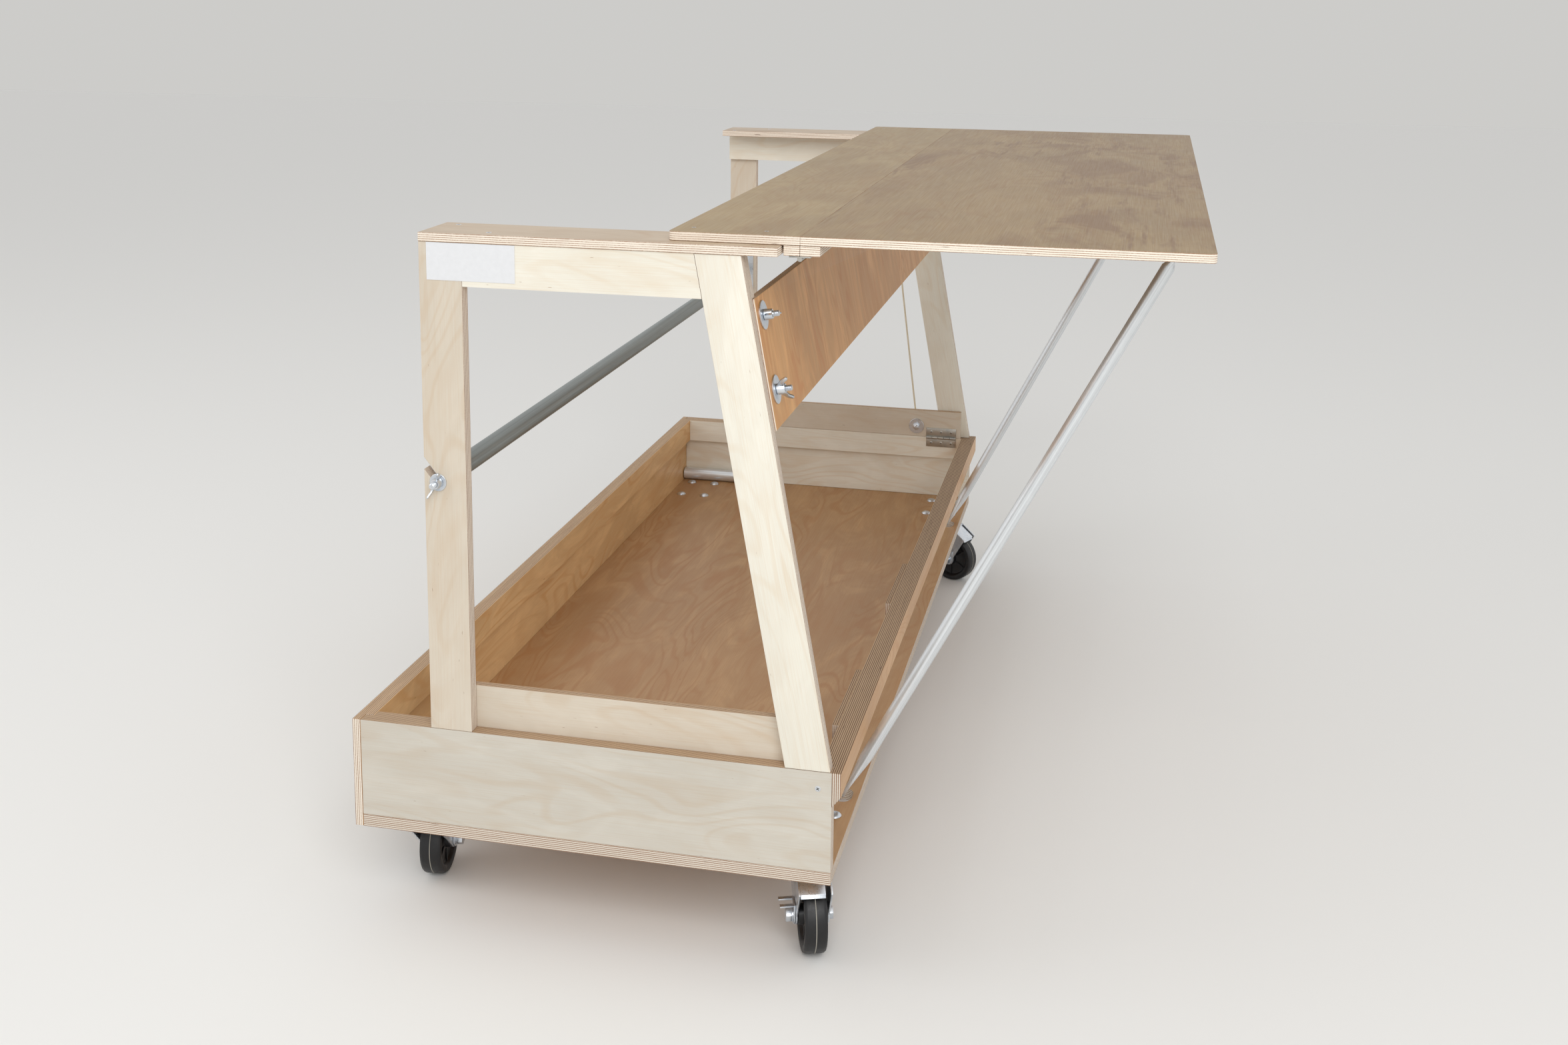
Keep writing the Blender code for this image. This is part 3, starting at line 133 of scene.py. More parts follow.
# Floor and lamps in metres, with the lamps' places counted from the point that they face
FLOOR_HALF = 14.0
LAMP_SIZE = 3.0
KEY_PLACE = Vector((1.5, -4.5, 3.1))
FILL_PLACE = Vector((-4.2, -1.6, 2.4))

# Lean of the slanted legs from upright, and the directions down their slope and out of it
SLANT = math.atan((SLANT_FOOT - SLANT_HEAD) / (FRAME_TOP - WALL_TOP))
SLOPE_DOWN = Vector((math.sin(SLANT), 0, -math.cos(SLANT)))
SLOPE_OUT = Vector((math.cos(SLANT), 0, math.sin(SLANT)))


def hex_colour(value):
    """Linear colour of an sRGB hex value such as D9CBB5."""
    channels = [int(value[index:index + 2], 16) / 255 for index in (0, 2, 4)]
    linear = [c / 12.92 if c <= 0.04045 else ((c + 0.055) / 1.055) ** 2.4 for c in channels]
    return (*linear, 1.0)


def colour_property(name, value, description):
    """A colour a user can change, given by its sRGB hex value."""
    return FloatVectorProperty(name=name, description=description, subtype="COLOR", size=3,
                               min=0.0, max=1.0, default=hex_colour(value)[:3])


class PastingWoodSettings(bpy.types.PropertyGroup):
    """Face colours of the plywood boards."""
    top: colour_property("Table top", "91764C", "Worn birch face of the outer leaf")
    inner: colour_property("Inner leaf", "9C8358", "Worn birch face of the inner leaf")
    panel: colour_property("End panels", "CCC6BA", "Pale face of the end panels")
    leg: colour_property("Legs", "D3C8B7", "Face of the upright legs")
    bright: colour_property("Slanted legs", "E8E3D5", "Bright face of the slanted legs and rails")
    cap: colour_property("Caps", "C0AD95", "Face of the boards on top of the frames")
    amber: colour_property("Amber birch", "D8A264", "Face of the apron")
    deck: colour_property("Deck", "B48D63", "Face of the tray's deck")
    # Painted light: the wall colour is birch tinted warm and brightened, standing for the bounce light and
    # lifting the shade inside the tray
    wall: colour_property("Wall", "E0BA87", "Inner faces of the tray's long sides")
    rail: colour_property("Front rail", "CFA67B", "Faces of the rail over the front gap")
    layer_light: colour_property("Light layers", "F1E6D6", "Long grain layers on plywood edges")
    layer_dark: colour_property("Dark layers", "9A7358", "End grain layers on plywood edges")
    layer_pitch: FloatProperty(name="Layer thickness", description="Thickness of one veneer layer",
                               default=1.35 * MM, min=0.5 * MM, max=4 * MM, unit="LENGTH")


class PastingMetalSettings(bpy.types.PropertyGroup):
    """Colours and sizes of the metal and rubber fittings."""
    zinc: colour_property("Zinc", "D9DCE0", "Bright zinc plated steel")
    tube: colour_property("Tube", "E9EDF0", "Galvanised tube of the struts")
    bar: colour_property("Bar", "8A908E", "Duller galvanised tube of the hanging bar")
    rubber: colour_property("Rubber", "101012", "Black rubber of the wheels")
    thread_pitch: FloatProperty(name="Thread pitch", description="Distance between bolt threads",
                                default=1.25 * MM, min=0.5 * MM, max=3 * MM, unit="LENGTH")


class PastingStageSettings(bpy.types.PropertyGroup):
    """Floor, lights and camera."""
    floor: colour_property("Floor", "F0EFEC", "Plain pale floor and the backdrop above it")
    key_power: FloatProperty(name="Key light", description="Power of the large soft key light",
                             default=132.0, min=0.0, max=2000.0, unit="POWER")
    fill_power: FloatProperty(name="Fill light", description="Power of the fill light on the right",
                              default=30.0, min=0.0, max=2000.0, unit="POWER")
    ambient: FloatProperty(name="Ambient", description="Strength of the even light all round",
                           default=0.66, min=0.0, max=3.0)
    lens: FloatProperty(name="Lens", description="Focal length on a 36 mm wide sensor", default=37.444,
                        min=10.0, max=200.0)
    drop: FloatProperty(name="Vertical shift", description="Downward shift that keeps uprights near parallel",
                        default=-0.18, min=-1.0, max=1.0)


def at(x, y, z):
    """Place of a point given in millimetres from the tray's near left lower corner."""
    return CORNER + Vector((x, y, z)) * MM


def end_y(depth, end):
    """Distance along the table of a point this deep from one end."""
    return depth if end == "near" else LENGTH - depth


def outward(end):
    """Direction out of one end of the table."""
    return -Y if end == "near" else Y


def joint_line(name):
    """Place and axis of a joint of the frame."""
    joint = JOINTS[name]
    return Vector(joint["pos_m"]), Vector(joint["axis"])


def axes(place, out, along):
    """Matrix at a place with local Z pointing out and local X as near to along as it can be."""
    z_axis = out.normalized()
    x_axis = (along - z_axis * along.dot(z_axis)).normalized()
    y_axis = z_axis.cross(x_axis)
    turn = Matrix((x_axis, y_axis, z_axis)).transposed().to_4x4()
    return Matrix.Translation(place) @ turn


def turned(angle):
    """Turn about local Z, in radians."""
    return Matrix.Rotation(angle, 4, "Z")


def moved(x, y, z):
    """Move along the local axes, in millimetres."""
    return Matrix.Translation((x * MM, y * MM, z * MM))


def add(tree, kind, inputs=None, **settings):
    """Adds a shader node with its settings, values and links."""
    made = tree.nodes.new("ShaderNode" + kind)
    for key, value in settings.items():
        setattr(made, key, value)
    for key, value in (inputs or {}).items():
        if isinstance(value, bpy.types.NodeSocket):
            tree.links.new(value, made.inputs[key])
        else:
            made.inputs[key].default_value = value
    return made


def mix_colour(tree, factor, first, second):
    """Colour between two, by a factor."""
    return add(tree, "Mix", {0: factor, 6: first, 7: second}, data_type="RGBA").outputs[2]


def mix_value(tree, factor, first, second):
    """Value between two, by a factor."""
    return add(tree, "Mix", {0: factor, 2: first, 3: second}, data_type="FLOAT").outputs[0]


def spread(tree, value, low, high, out_low=0.0, out_high=1.0):
    """Stretches a band of a value to another band and clamps it there."""
    made = add(tree, "MapRange", {0: value, 1: low, 2: high, 3: out_low, 4: out_high}, clamp=True)
    return made.outputs[0]


def arithmetic(tree, operation, first, second=0.0):
    """One sum on two values."""
    return add(tree, "Math", {0: first, 1: second}, operation=operation).outputs[0]


def times(tree, first, second):
    """Product of two values."""
    return arithmetic(tree, "MULTIPLY", first, second)


def noise(tree, coords, scale, detail=2.0, roughness=0.5, distortion=0.0):
    """Noise value whose scale is given per metre along each axis."""
    stretched = add(tree, "Mapping", {"Vector": coords, "Scale": scale}).outputs[0]
    made = add(tree, "TexNoise", {"Vector": stretched, "Scale": 1.0, "Detail": detail,
                                  "Roughness": roughness, "Distortion": distortion})
    return made.outputs[0]


def surface(name):
    """Material with its tree and its shader."""
    made = bpy.data.materials.new(name)
    made.use_nodes = True
    tree = made.node_tree
    return made, tree, tree.nodes["Principled BSDF"]


def drive(tree, shader, colour, rough):
    """Links a colour and a roughness to a shader."""
    tree.links.new(colour, shader.inputs["Base Color"])
    tree.links.new(rough, shader.inputs["Roughness"])


def laid_out(tree, out, along, origin):
    """Object coordinates counted from a point, with Z pointing out and X along."""
    coords = add(tree, "TexCoord").outputs["Object"]
    turn = axes(Vector(), out, along).to_euler()
    return add(tree, "Mapping", {"Vector": coords, "Location": tuple(origin), "Rotation": tuple(turn)},
               vector_type="TEXTURE").outputs[0]


def bump(tree, shader, height, distance, strength):
    """Relief on a shader from a height value."""
    made = add(tree, "Bump", {"Height": height, "Distance": distance, "Strength": strength})
    tree.links.new(made.outputs[0], shader.inputs["Normal"])


def tinted(colour, factors):
    """A colour with each channel times its own factor."""
    return (*[channel * factor for channel, factor in zip(colour[:3], factors)], 1.0)


def darker(colour, share):
    """The same colour at a share of its strength."""
    return tinted(colour, (share,) * 3)


def face_wood(tree, board, light, figure, tone, wear):
    """Colour of a rotary cut birch face: arched figure, fibres, flecks, and stains where it is worn."""
    brown = tinted(light, (0.84, 0.66, 0.48))
    # Tone drifts over 150 to 500 mm, and in smaller flames along the grain
    drift = noise(tree, board, (1.9, 4.6, 1.0), 2.0, 0.55, 0.6)
    base = mix_colour(tree, spread(tree, drift, 0.35, 0.68), light, darker(light, 1.0 - 0.3 * tone))
    flame = noise(tree, board, (4.2, 13.0, 1.0), 3.5, 0.62, 1.6)
    base = mix_colour(tree, spread(tree, flame, 0.52, 0.74, 0.0, 0.55 * figure), base, brown)
    glow = tinted(light, (1.20, 1.24, 1.28))
    base = mix_colour(tree, spread(tree, flame, 0.52, 0.34, 0.0, 0.8 * figure), base, glow)
    # Arches: contour lines of a slow field, 6 to 25 mm apart and drawn out along the grain
    field = noise(tree, board, (1.9, 8.0, 1.0), 1.8, 0.45, 1.0)
    lines = arithmetic(tree, "SINE", times(tree, field, 92.0))
    fade = spread(tree, noise(tree, board, (2.5, 9.0, 1.0), 1.0), 0.36, 0.58)
    rings = times(tree, spread(tree, lines, 0.2, 1.0), fade)
    base = mix_colour(tree, times(tree, rings, 0.72 * figure), base, brown)
    # Fibres about 1.5 mm wide, and flecks 1 to 2 mm wide and up to 15 mm long
    fibre = noise(tree, board, (9.0, 640.0, 5.0), 2.5, 0.6)
    base = mix_colour(tree, spread(tree, fibre, 0.45, 0.8, 0.0, 0.3), base, brown)
    fleck = spread(tree, noise(tree, board, (55.0, 330.0, 5.0), 1.0), 0.77, 0.82, 0.0, 0.7)
    base = mix_colour(tree, fleck, base, tinted(light, (0.42, 0.27, 0.17)))
    if wear:
        base = stained(tree, board, base, light, wear)
    return base, fibre


def stained(tree, board, base, light, wear):
    """Brown clouds and streaks that paste and water have left."""
    cloud = spread(tree, noise(tree, board, (4.0, 9.0, 1.0), 4.0, 0.65, 0.7), 0.50, 0.60)
    streak = spread(tree, noise(tree, board, (5.0, 46.0, 1.0), 3.0, 0.62), 0.55, 0.66)
    patch = spread(tree, noise(tree, board, (1.5, 2.6, 1.0), 2.0), 0.42, 0.56)
    amount = times(tree, arithmetic(tree, "MAXIMUM", cloud, streak), patch)
    amount = times(tree, amount, wear)
    return mix_colour(tree, amount, base, tinted(light, (0.66, 0.52, 0.38)))


def edge_wood(tree, board, tone):
    """Colour of a plywood edge: thin brown lines between pale layers, with pores and darker runs, and painted
    shade on edges that face up.
    """
    woods = bpy.context.scene.pasting_woods
    depth = add(tree, "SeparateXYZ", {0: board}).outputs[2]
    layer = arithmetic(tree, "DIVIDE", depth, woods.layer_pitch)
    wave = arithmetic(tree, "SINE", times(tree, layer, math.pi))
    run = noise(tree, board, (9.0, 9.0, 700.0), 2.0, 0.6)
    pores = noise(tree, board, (500.0,) * 3, 2.0, 0.7)
    wave = arithmetic(tree, "ADD", wave, times(tree, run, 1.3))
    dark = spread(tree, arithmetic(tree, "ADD", wave, pores), 1.5 - 0.5 * tone, 2.2 - 0.5 * tone)
    light = darker((*woods.layer_light, 1.0), 1.0 - 0.35 * tone)
    deep = darker((*woods.layer_dark, 1.0), 1.0 - 0.3 * tone)
    edge = mix_colour(tree, dark, light, deep)
    # Painted shade: edges that look up are darkened as if light only grazed them
    normal = add(tree, "NewGeometry").outputs["Normal"]
    above = spread(tree, add(tree, "SeparateXYZ", {0: normal}).outputs[2], 0.6, 0.9)
    painted_up_shade = mix_colour(tree, dark, tinted(light, (0.74, 0.58, 0.43)), darker(deep, 0.5))
    edge = mix_colour(tree, above, edge, painted_up_shade)
    gap = spread(tree, noise(tree, board, (30.0, 30.0, 520.0), 1.0), 0.74, 0.80, 0.0, 0.8)
    return mix_colour(tree, gap, edge, darker(deep, 0.35)), dark


def birch_plywood(name, face, grain, thickness, origin, figure=0.5, tone=0.5, wear=0.0, edge=0.15,
                  back=0.0):
    """Birch plywood with a clear satin finish: figured faces, layered edges."""
    made, tree, shader = surface(name)
    board = laid_out(tree, thickness, grain, origin)
    base, fibre = face_wood(tree, board, (*face[:3], 1.0), figure, tone, wear)
    layers, dark = edge_wood(tree, board, edge)
    normal = add(tree, "NewGeometry").outputs["Normal"]
    facing = add(tree, "VectorMath", {0: normal, 1: tuple(thickness)},
                 operation="DOT_PRODUCT").outputs["Value"]
    # Where the surface turns from the thickness direction by more than 44 degrees the layers show
    mask = arithmetic(tree, "GREATER_THAN", arithmetic(tree, "ABSOLUTE", facing), 0.72)
    if back:
        # Painted light: the inner face keeps the wall colour, painted warm and bright as bounce light inside
        # the tray, while the outer face leans to the plain panel colour
        behind = times(tree, arithmetic(tree, "LESS_THAN", facing, 0.0), back)
        base = mix_colour(tree, behind, base, (*bpy.context.scene.pasting_woods.panel, 1.0))
    gloss = spread(tree, fibre, 0.3, 0.8, 0.40, 0.52)
    drive(tree, shader, mix_colour(tree, mask, layers, base), mix_value(tree, mask, 0.72, gloss))
    shader.inputs["Specular IOR Level"].default_value = 0.42
    relief = mix_value(tree, mask, times(tree, dark, -1.0), fibre)
    bump(tree, shader, relief, 0.25 * MM, 0.35)
    return made


def plated_zinc(name, tint, rough=0.32):
    """Bright zinc plating on stamped steel: grey with a faint warm and cool cloud, fine scratches."""
    made, tree, shader = surface(name)
    coords = add(tree, "TexCoord").outputs["Object"]
    cloud = noise(tree, coords, (60.0,) * 3, 3.0, 0.6)
    cool = tinted(tint, (0.84, 0.88, 0.92))
    colour = mix_colour(tree, spread(tree, cloud, 0.4, 0.65), (*tint[:3], 1.0), cool)
    grime = spread(tree, noise(tree, coords, (170.0,) * 3, 2.0), 0.62, 0.75, 0.0, 0.4)
    colour = mix_colour(tree, grime, colour, darker(tint, 0.5))
    shader.inputs["Metallic"].default_value = 1.0
    scratch = noise(tree, coords, (900.0,) * 3, 2.0)
    drive(tree, shader, colour, spread(tree, scratch, 0.3, 0.75, rough - 0.07, rough + 0.16))
    bump(tree, shader, scratch, 0.05 * MM, 0.2)
    return made


def galvanised_tube(name, tint, origin, along, rough=0.3, bare=0.62):
    """Galvanised steel tube: dull silver with long drawn streaks and soft zinc mottling."""
    made, tree, shader = surface(name)
    local = laid_out(tree, along, X if abs(along.dot(X)) < 0.9 else Y, origin)
    streak = noise(tree, local, (420.0, 420.0, 2.2), 3.0, 0.5)
    mottle = noise(tree, local, (95.0, 95.0, 40.0), 3.0, 0.65, 0.3)
    colour = mix_colour(tree, spread(tree, streak, 0.35, 0.7), (*tint[:3], 1.0), darker(tint, 0.74))
    white = tuple(min(1.0, channel * 1.22) for channel in tint[:3]) + (1.0,)
    colour = mix_colour(tree, spread(tree, mottle, 0.50, 0.75, 0.0, 0.16), colour, white)
    scuff = spread(tree, noise(tree, local, (160.0, 160.0, 5.0), 2.0), 0.66, 0.78, 0.0, 0.16)
    colour = mix_colour(tree, scuff, colour, darker(tint, 0.38))
    # The zinc has gone dull, so part of it shines like metal and the rest like chalky oxide
    shader.inputs["Metallic"].default_value = bare
    drive(tree, shader, colour, spread(tree, mottle, 0.3, 0.7, rough - 0.02, rough + 0.06))
    bump(tree, shader, streak, 0.04 * MM, 0.12)
    return made


def moulded_rubber(name, tint):
    """Hard black moulded rubber: deep grey with a soft gloss, dust in its pores."""
    made, tree, shader = surface(name)
    coords = add(tree, "TexCoord").outputs["Object"]
    dust = noise(tree, coords, (120.0,) * 3, 4.0, 0.65)
    grey = hex_colour("5A5853")
    colour = mix_colour(tree, spread(tree, dust, 0.55, 0.9, 0.0, 0.18), (*tint[:3], 1.0), grey)
    drive(tree, shader, colour, spread(tree, dust, 0.3, 0.8, 0.34, 0.6))
    grain = noise(tree, coords, (700.0,) * 3, 2.0)
    bump(tree, shader, grain, 0.06 * MM, 0.3)
    return made


def painted(name, value, rough, grain_scale=300.0, spread_share=0.08):
    """Matt coat or paper with a faint cloud in its tone."""
    made, tree, shader = surface(name)
    coords = add(tree, "TexCoord").outputs["Object"]
    cloud = noise(tree, coords, (grain_scale,) * 3, 3.0, 0.6)
    tint = hex_colour(value)
    colour = mix_colour(tree, spread(tree, cloud, 0.35, 0.7), tint, darker(tint, 1.0 - spread_share))
    drive(tree, shader, colour, spread(tree, cloud, 0.3, 0.7, rough - 0.05, rough + 0.05))
    bump(tree, shader, cloud, 0.05 * MM, 0.15)
    return made


# The near black coat below is painted shade, laid as a dark cross where a screw's recess would be
COATS = {"painted recess shade": ("25241F", 0.6), "pale mould line": ("9C988E", 0.7),
         "pale coated rod": ("E6DCC4", 0.4), "blank label stock": ("DFE0E2", 0.45, 120.0, 0.04)}


def metal(name):
    """A metal, coat or rubber material, made once and then shared."""
    kept = bpy.data.materials.get(name)
    if kept:
        return kept
    colours = bpy.context.scene.pasting_metals
    if name == "zinc plated steel":
        return plated_zinc(name, colours.zinc)
    if name == "plain hinge steel":
        return plated_zinc(name, hex_colour("B9B6AE"), 0.36)
    if name in COATS:
        return painted(name, *COATS[name])
    return moulded_rubber(name, colours.rubber)


def to_object(name, work, materials):
    """Object of the scene from a bmesh and its materials."""
    mesh = bpy.data.meshes.new(name)
    work.to_mesh(mesh)
    work.free()
    for material in materials:
        mesh.materials.append(material)
    made = bpy.data.objects.new(name, mesh)
    bpy.context.scene.collection.objects.link(made)
    return made


def piece(name, work, body, materials, nodes=(), sharp=35.0):
    """Turns a bmesh into a finished piece that rides on a body and stands for CAD nodes."""
    bmesh.ops.remove_doubles(work, verts=work.verts, dist=MERGE * MM)
    bmesh.ops.recalc_face_normals(work, faces=work.faces)
    made = to_object(name, work, materials)
    made.data.shade_smooth()
    made.data.set_sharp_from_angle(angle=math.radians(sharp))
    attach(made, body)
    if nodes:
        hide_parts(*nodes)


def new_faces(work, before):
    """Faces that a bmesh has beyond those it had before."""
    return [face for face in work.faces if face not in before]


def settle(work, before, matrix, index):
    """Moves the new faces by a matrix and gives them a material slot."""
    faces = new_faces(work, before)
    verts = dict.fromkeys(vert for face in faces for vert in face.verts)
    bmesh.ops.transform(work, matrix=matrix, verts=list(verts))
    for face in faces:
        face.material_index = index


def soften(work, edges, width):
    """Rounds edges by a width in millimetres, each edge once."""
    bmesh.ops.bevel(work, geom=list(dict.fromkeys(edges)), offset=width * MM, segments=2, profile=0.5,
                    affect="EDGES", material=-1)


def spun(work, profile, matrix, steps, closed=False, index=0):
    """Turned form about local Z from (radius, height) points in millimetres."""
    before = set(work.faces)
    verts = [work.verts.new((radius * MM, 0, height * MM)) for radius, height in profile]
    pairs = list(zip(verts, verts[1:]))
    if closed:
        pairs.append((verts[-1], verts[0]))
    edges = [work.edges.new(pair) for pair in pairs]
    bmesh.ops.spin(work, geom=verts + edges, cent=(0, 0, 0), axis=(0, 0, 1), angle=FULL_TURN,
                   steps=steps, use_merge=True)
    verts = dict.fromkeys(vert for face in new_faces(work, before) for vert in face.verts)
    bmesh.ops.remove_doubles(work, verts=list(verts), dist=MERGE * MM)
    settle(work, before, matrix, index)


def plate(work, outline, low, high, matrix, bevel):
    """Flat plate from an outline in local XY between two heights, in millimetres."""
    before = set(work.faces)
    verts = [work.verts.new((x * MM, y * MM, low * MM)) for x, y in outline]
    base = bmesh.ops.contextual_create(work, geom=verts)["faces"]
    made = bmesh.ops.extrude_face_region(work, geom=base)
    top = [item for item in made["geom"] if isinstance(item, bmesh.types.BMVert)]
    bmesh.ops.translate(work, verts=top, vec=(0, 0, (high - low) * MM))
    edges = [edge for face in new_faces(work, before) for edge in face.edges
             if edge.is_boundary or len(edge.link_faces) == 2
             and edge.calc_face_angle(0.0) > CORNER_ANGLE]
    soften(work, edges, bevel)
    settle(work, before, matrix, 0)


def box_between(work, low, high, bevel=0.0, matrix=Matrix(), index=0):
    """Upright box between two corners in metres, with its edges softened."""
    before = set(work.faces)
    size = high - low
    place = Matrix.Translation((low + high) / 2) @ Matrix.Diagonal((*size, 1))
    verts = bmesh.ops.create_cube(work, size=1, matrix=place)["verts"]
    if bevel:
        soften(work, [edge for vert in verts for edge in vert.link_edges], bevel)
    settle(work, before, matrix, index)


def arc(x, y, radius, start, sweep, count):
    """Points along an arc, in millimetres and degrees."""
    angles = [math.radians(start + sweep * index / count) for index in range(count + 1)]
    return [(x + radius * math.cos(angle), y + radius * math.sin(angle)) for angle in angles]


def hexagon(radius):
    """Outline of a hexagon nut."""
    return arc(0, 0, radius, 0, 300, 5)


def threads(low, high):
    """Profile of a threaded shank from high to low, with a chamfered end."""
    radius = BOLT_RADIUS
    pitch = bpy.context.scene.pasting_metals.thread_pitch / MM
    points = [(0, high), (radius * 0.72, high), (radius, high - pitch * 0.7)]
    height = high - pitch * 0.7
    while height - pitch > low:
        points += [(radius * 0.86, height - pitch / 2), (radius, height - pitch)]
        height -= pitch
    return points + [(radius * 0.9, low), (0, low)]


def finish_board(node, material):
    """Soft edges and a new surface on a board of the frame."""
    board = frame["nodes"][node]
    weld = board.modifiers.new("weld", "WELD")
    weld.merge_threshold = 0.01 * MM
    soft = board.modifiers.new("soft edges", "BEVEL")
    soft.width = SOFT_EDGE * MM
    soft.segments = 2
    soft.limit_method = "ANGLE"
    soft.angle_limit = CORNER_ANGLE
    board.data.materials.clear()
    board.data.materials.append(material)


class PASTING_OT_boards(bpy.types.Operator):
    """Plywood surfaces and soft edges for the tray, frames, leaves and apron"""
    bl_idname = "pasting.boards"
    bl_label = "Plywood boards"

    def execute(self, context):
        woods = context.scene.pasting_woods
        # Node, face colour, grain, thickness, a point on the board, then how strong its figure, tone, wear,
        # edge darkness (with the painted shade on edges that look up) and paler outer face are
        rows = [
            ("deck", woods.deck, Y, Z, at(0, 0, 0), 0.75, 0.3, 0.1, 0.55),
            ("left_board", woods.wall, Y, X, at(0, 300, 0), 0.8, 0.5, 0.0, 0.2, 0.6),
            ("front_rail", woods.rail, Y, X, at(0, 900, 0), 0.6, 0.4, 0.0, 0.7),
            ("end_panel_near", woods.panel, X, Y, at(350, 0, 30), 0.32, 0.2, 0.0, 0.4),
            # Painted light: the far end panel takes the brighter colour of the slanted legs, lifting the
            # shade at the back of the table
            ("end_panel_far", woods.bright, X, Y, at(120, LENGTH - PLY, 0), 0.4, 0.1, 0.0, 0.3),
            ("leaf_inner", woods.inner, Y, Z, at(500, 0, CAP_TOP), 0.5, 0.35, 0.35, 0.0),
            ("leaf_outer", woods.top, Y, Z, at(900, 200, CAP_TOP), 0.6, 0.4, 0.9, 0.0),
            ("batten_inner", woods.inner, Y, Z, at(600, 40, 833), 0.5, 0.5, 0.0, 0.0),
            ("batten_outer", woods.inner, Y, Z, at(630, 90, 833), 0.5, 0.5, 0.0, 0.0),
            ("apron", woods.amber, SLOPE_DOWN, SLOPE_OUT, at(570.8, 400, 749.7), 1.0, 0.6, 0.0, 0.2),
        ]
        for index, end in enumerate(ENDS):
            face = end_y(0, end)
            rows += [
                (f"left_leg_{end}", woods.leg, Z, Y, at(148, face, 90 * index), 0.3, 0.2, 0.0, 0.3),
                (f"upper_rail_{end}", woods.bright, X, Y, at(260 * index, face, 800), 0.3, 0.25, 0.0, 0.3),
                (f"lower_rail_{end}", woods.leg, X, Y, at(90, face, 190 + index), 0.35, 0.25, 0.0, 0.3),
                (f"cap_{end}", woods.cap, X, Z, at(80 * index, face, FRAME_TOP), 0.5, 0.35, 0.15, 0.1),
            ]
        for node, face, grain, thickness, origin, *looks in rows:
            made = birch_plywood(f"birch plywood {node}", face, grain, thickness, origin, *looks)
            finish_board(node, made)
        return {"FINISHED"}


class PASTING_OT_slanted_legs(bpy.types.Operator):
    """Slanted legs and the cleats behind the apron"""
    bl_idname = "pasting.slanted_legs"
    bl_label = "Slanted legs"

    def execute(self, context):
        woods = context.scene.pasting_woods
        grain = -SLOPE_DOWN
        for index, end in enumerate(ENDS):
            face = end_y(0, end)
            wood = birch_plywood(f"birch plywood slanted leg {end}", woods.bright, grain, Y,
                                 at(600, face, 60 * index), 0.3, 0.12, 0.0, 0.3)
            low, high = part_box(f"slanted_leg_{end}")
            work = bmesh.new()
            run = math.tan(SLANT)
            foot_x, width = at(SLANT_FOOT, 0, 0).x, SLANT_WIDTH * MM
            y_span = sorted((at(0, end_y(0, end), 0).y, at(0, end_y(PLY, end), 0).y))
            verts = bmesh.ops.create_cube(work, size=1)["verts"]
            for vert in verts:
                top = vert.co.z > 0
                x = foot_x + (width if vert.co.x > 0 else 0)
                x -= run * (high.z - low.z) if top else 0
                y = y_span[1] if vert.co.y > 0 else y_span[0]
                vert.co = (x, y, high.z if top else low.z)
            soften(work, work.edges[:], SOFT_EDGE)
            piece(f"slanted_leg_board_{end}", work, "table", [wood], [f"slanted_leg_{end}"],
                  60.0)
            tone = birch_plywood(f"birch plywood cleat {end}", woods.amber, grain, SLOPE_OUT,
                                 at(540, face, 700), 0.5, 0.5, 0.0)
            top_out = axes(at(apron_x(), end_y(PLY + GAP, end), APRON_TOP), SLOPE_OUT, SLOPE_DOWN)
            work = bmesh.new()
            sign = 1 if end == "near" else -1
            spans = sorted((0.0, sign * CLEAT_WIDTH))
            low, high = [Vector(corner) * MM for corner in zip(CLEAT_SPAN, spans, CLEAT_DEPTHS)]
            box_between(work, low, high, SOFT_EDGE, top_out)
            piece(f"cleat_{end}", work, "table", [tone], [f"slanted_leg_{end}"], 60.0)
        return {"FINISHED"}


def apron_x():
    """Distance from the left wall of the apron's outer face at its top edge."""
    return SLANT_FOOT - math.tan(SLANT) * (APRON_TOP - WALL_TOP) + SLANT_WIDTH + APRON_PROUD


def wing_nut_piece(node, face, turn):
    """Forged wing nut that stands over the washer on a face, turned by degrees."""
    work = bmesh.new()
    matrix = face @ moved(0, 0, NUT_SEAT) @ turned(math.radians(turn))
    spun(work, [(4.3, 11), (6.0, 11), (6.5, 10.4), (7.5, 0.6), (7.0, 0), (4.3, 0)], matrix, 32, True)
    outline = [(4.9, 1.4), (8.5, 1.8), (12.5, 5.0), (16.5, 8.3), (19.6, 13.2), (20.2, 15.6), (19.2, 17.4),
               (17.2, 17.8), (15.0, 16.6), (12.2, 12.6), (9.4, 9.9), (4.9, 9.4)]
    for flip in (0, math.pi):
        stand = matrix @ turned(flip) @ Matrix.Rotation(RIGHT_ANGLE, 4, "X")
        plate(work, outline, -1.3, 1.3, stand, 0.6)
    piece(f"{node}_piece", work, node, [metal("zinc plated steel")], [node])


def washer(work, matrix, radius, steps=48, index=0):
    """Flat washer that stands a hair off the board."""
    bore, low, high = BOLT_RADIUS + 0.4, GAP, GAP + WASHER_THICK
    spun(work, [(bore, high), (radius - 0.4, high), (radius, high - 0.4), (radius, low), (bore, low)],
         matrix, steps, True, index)


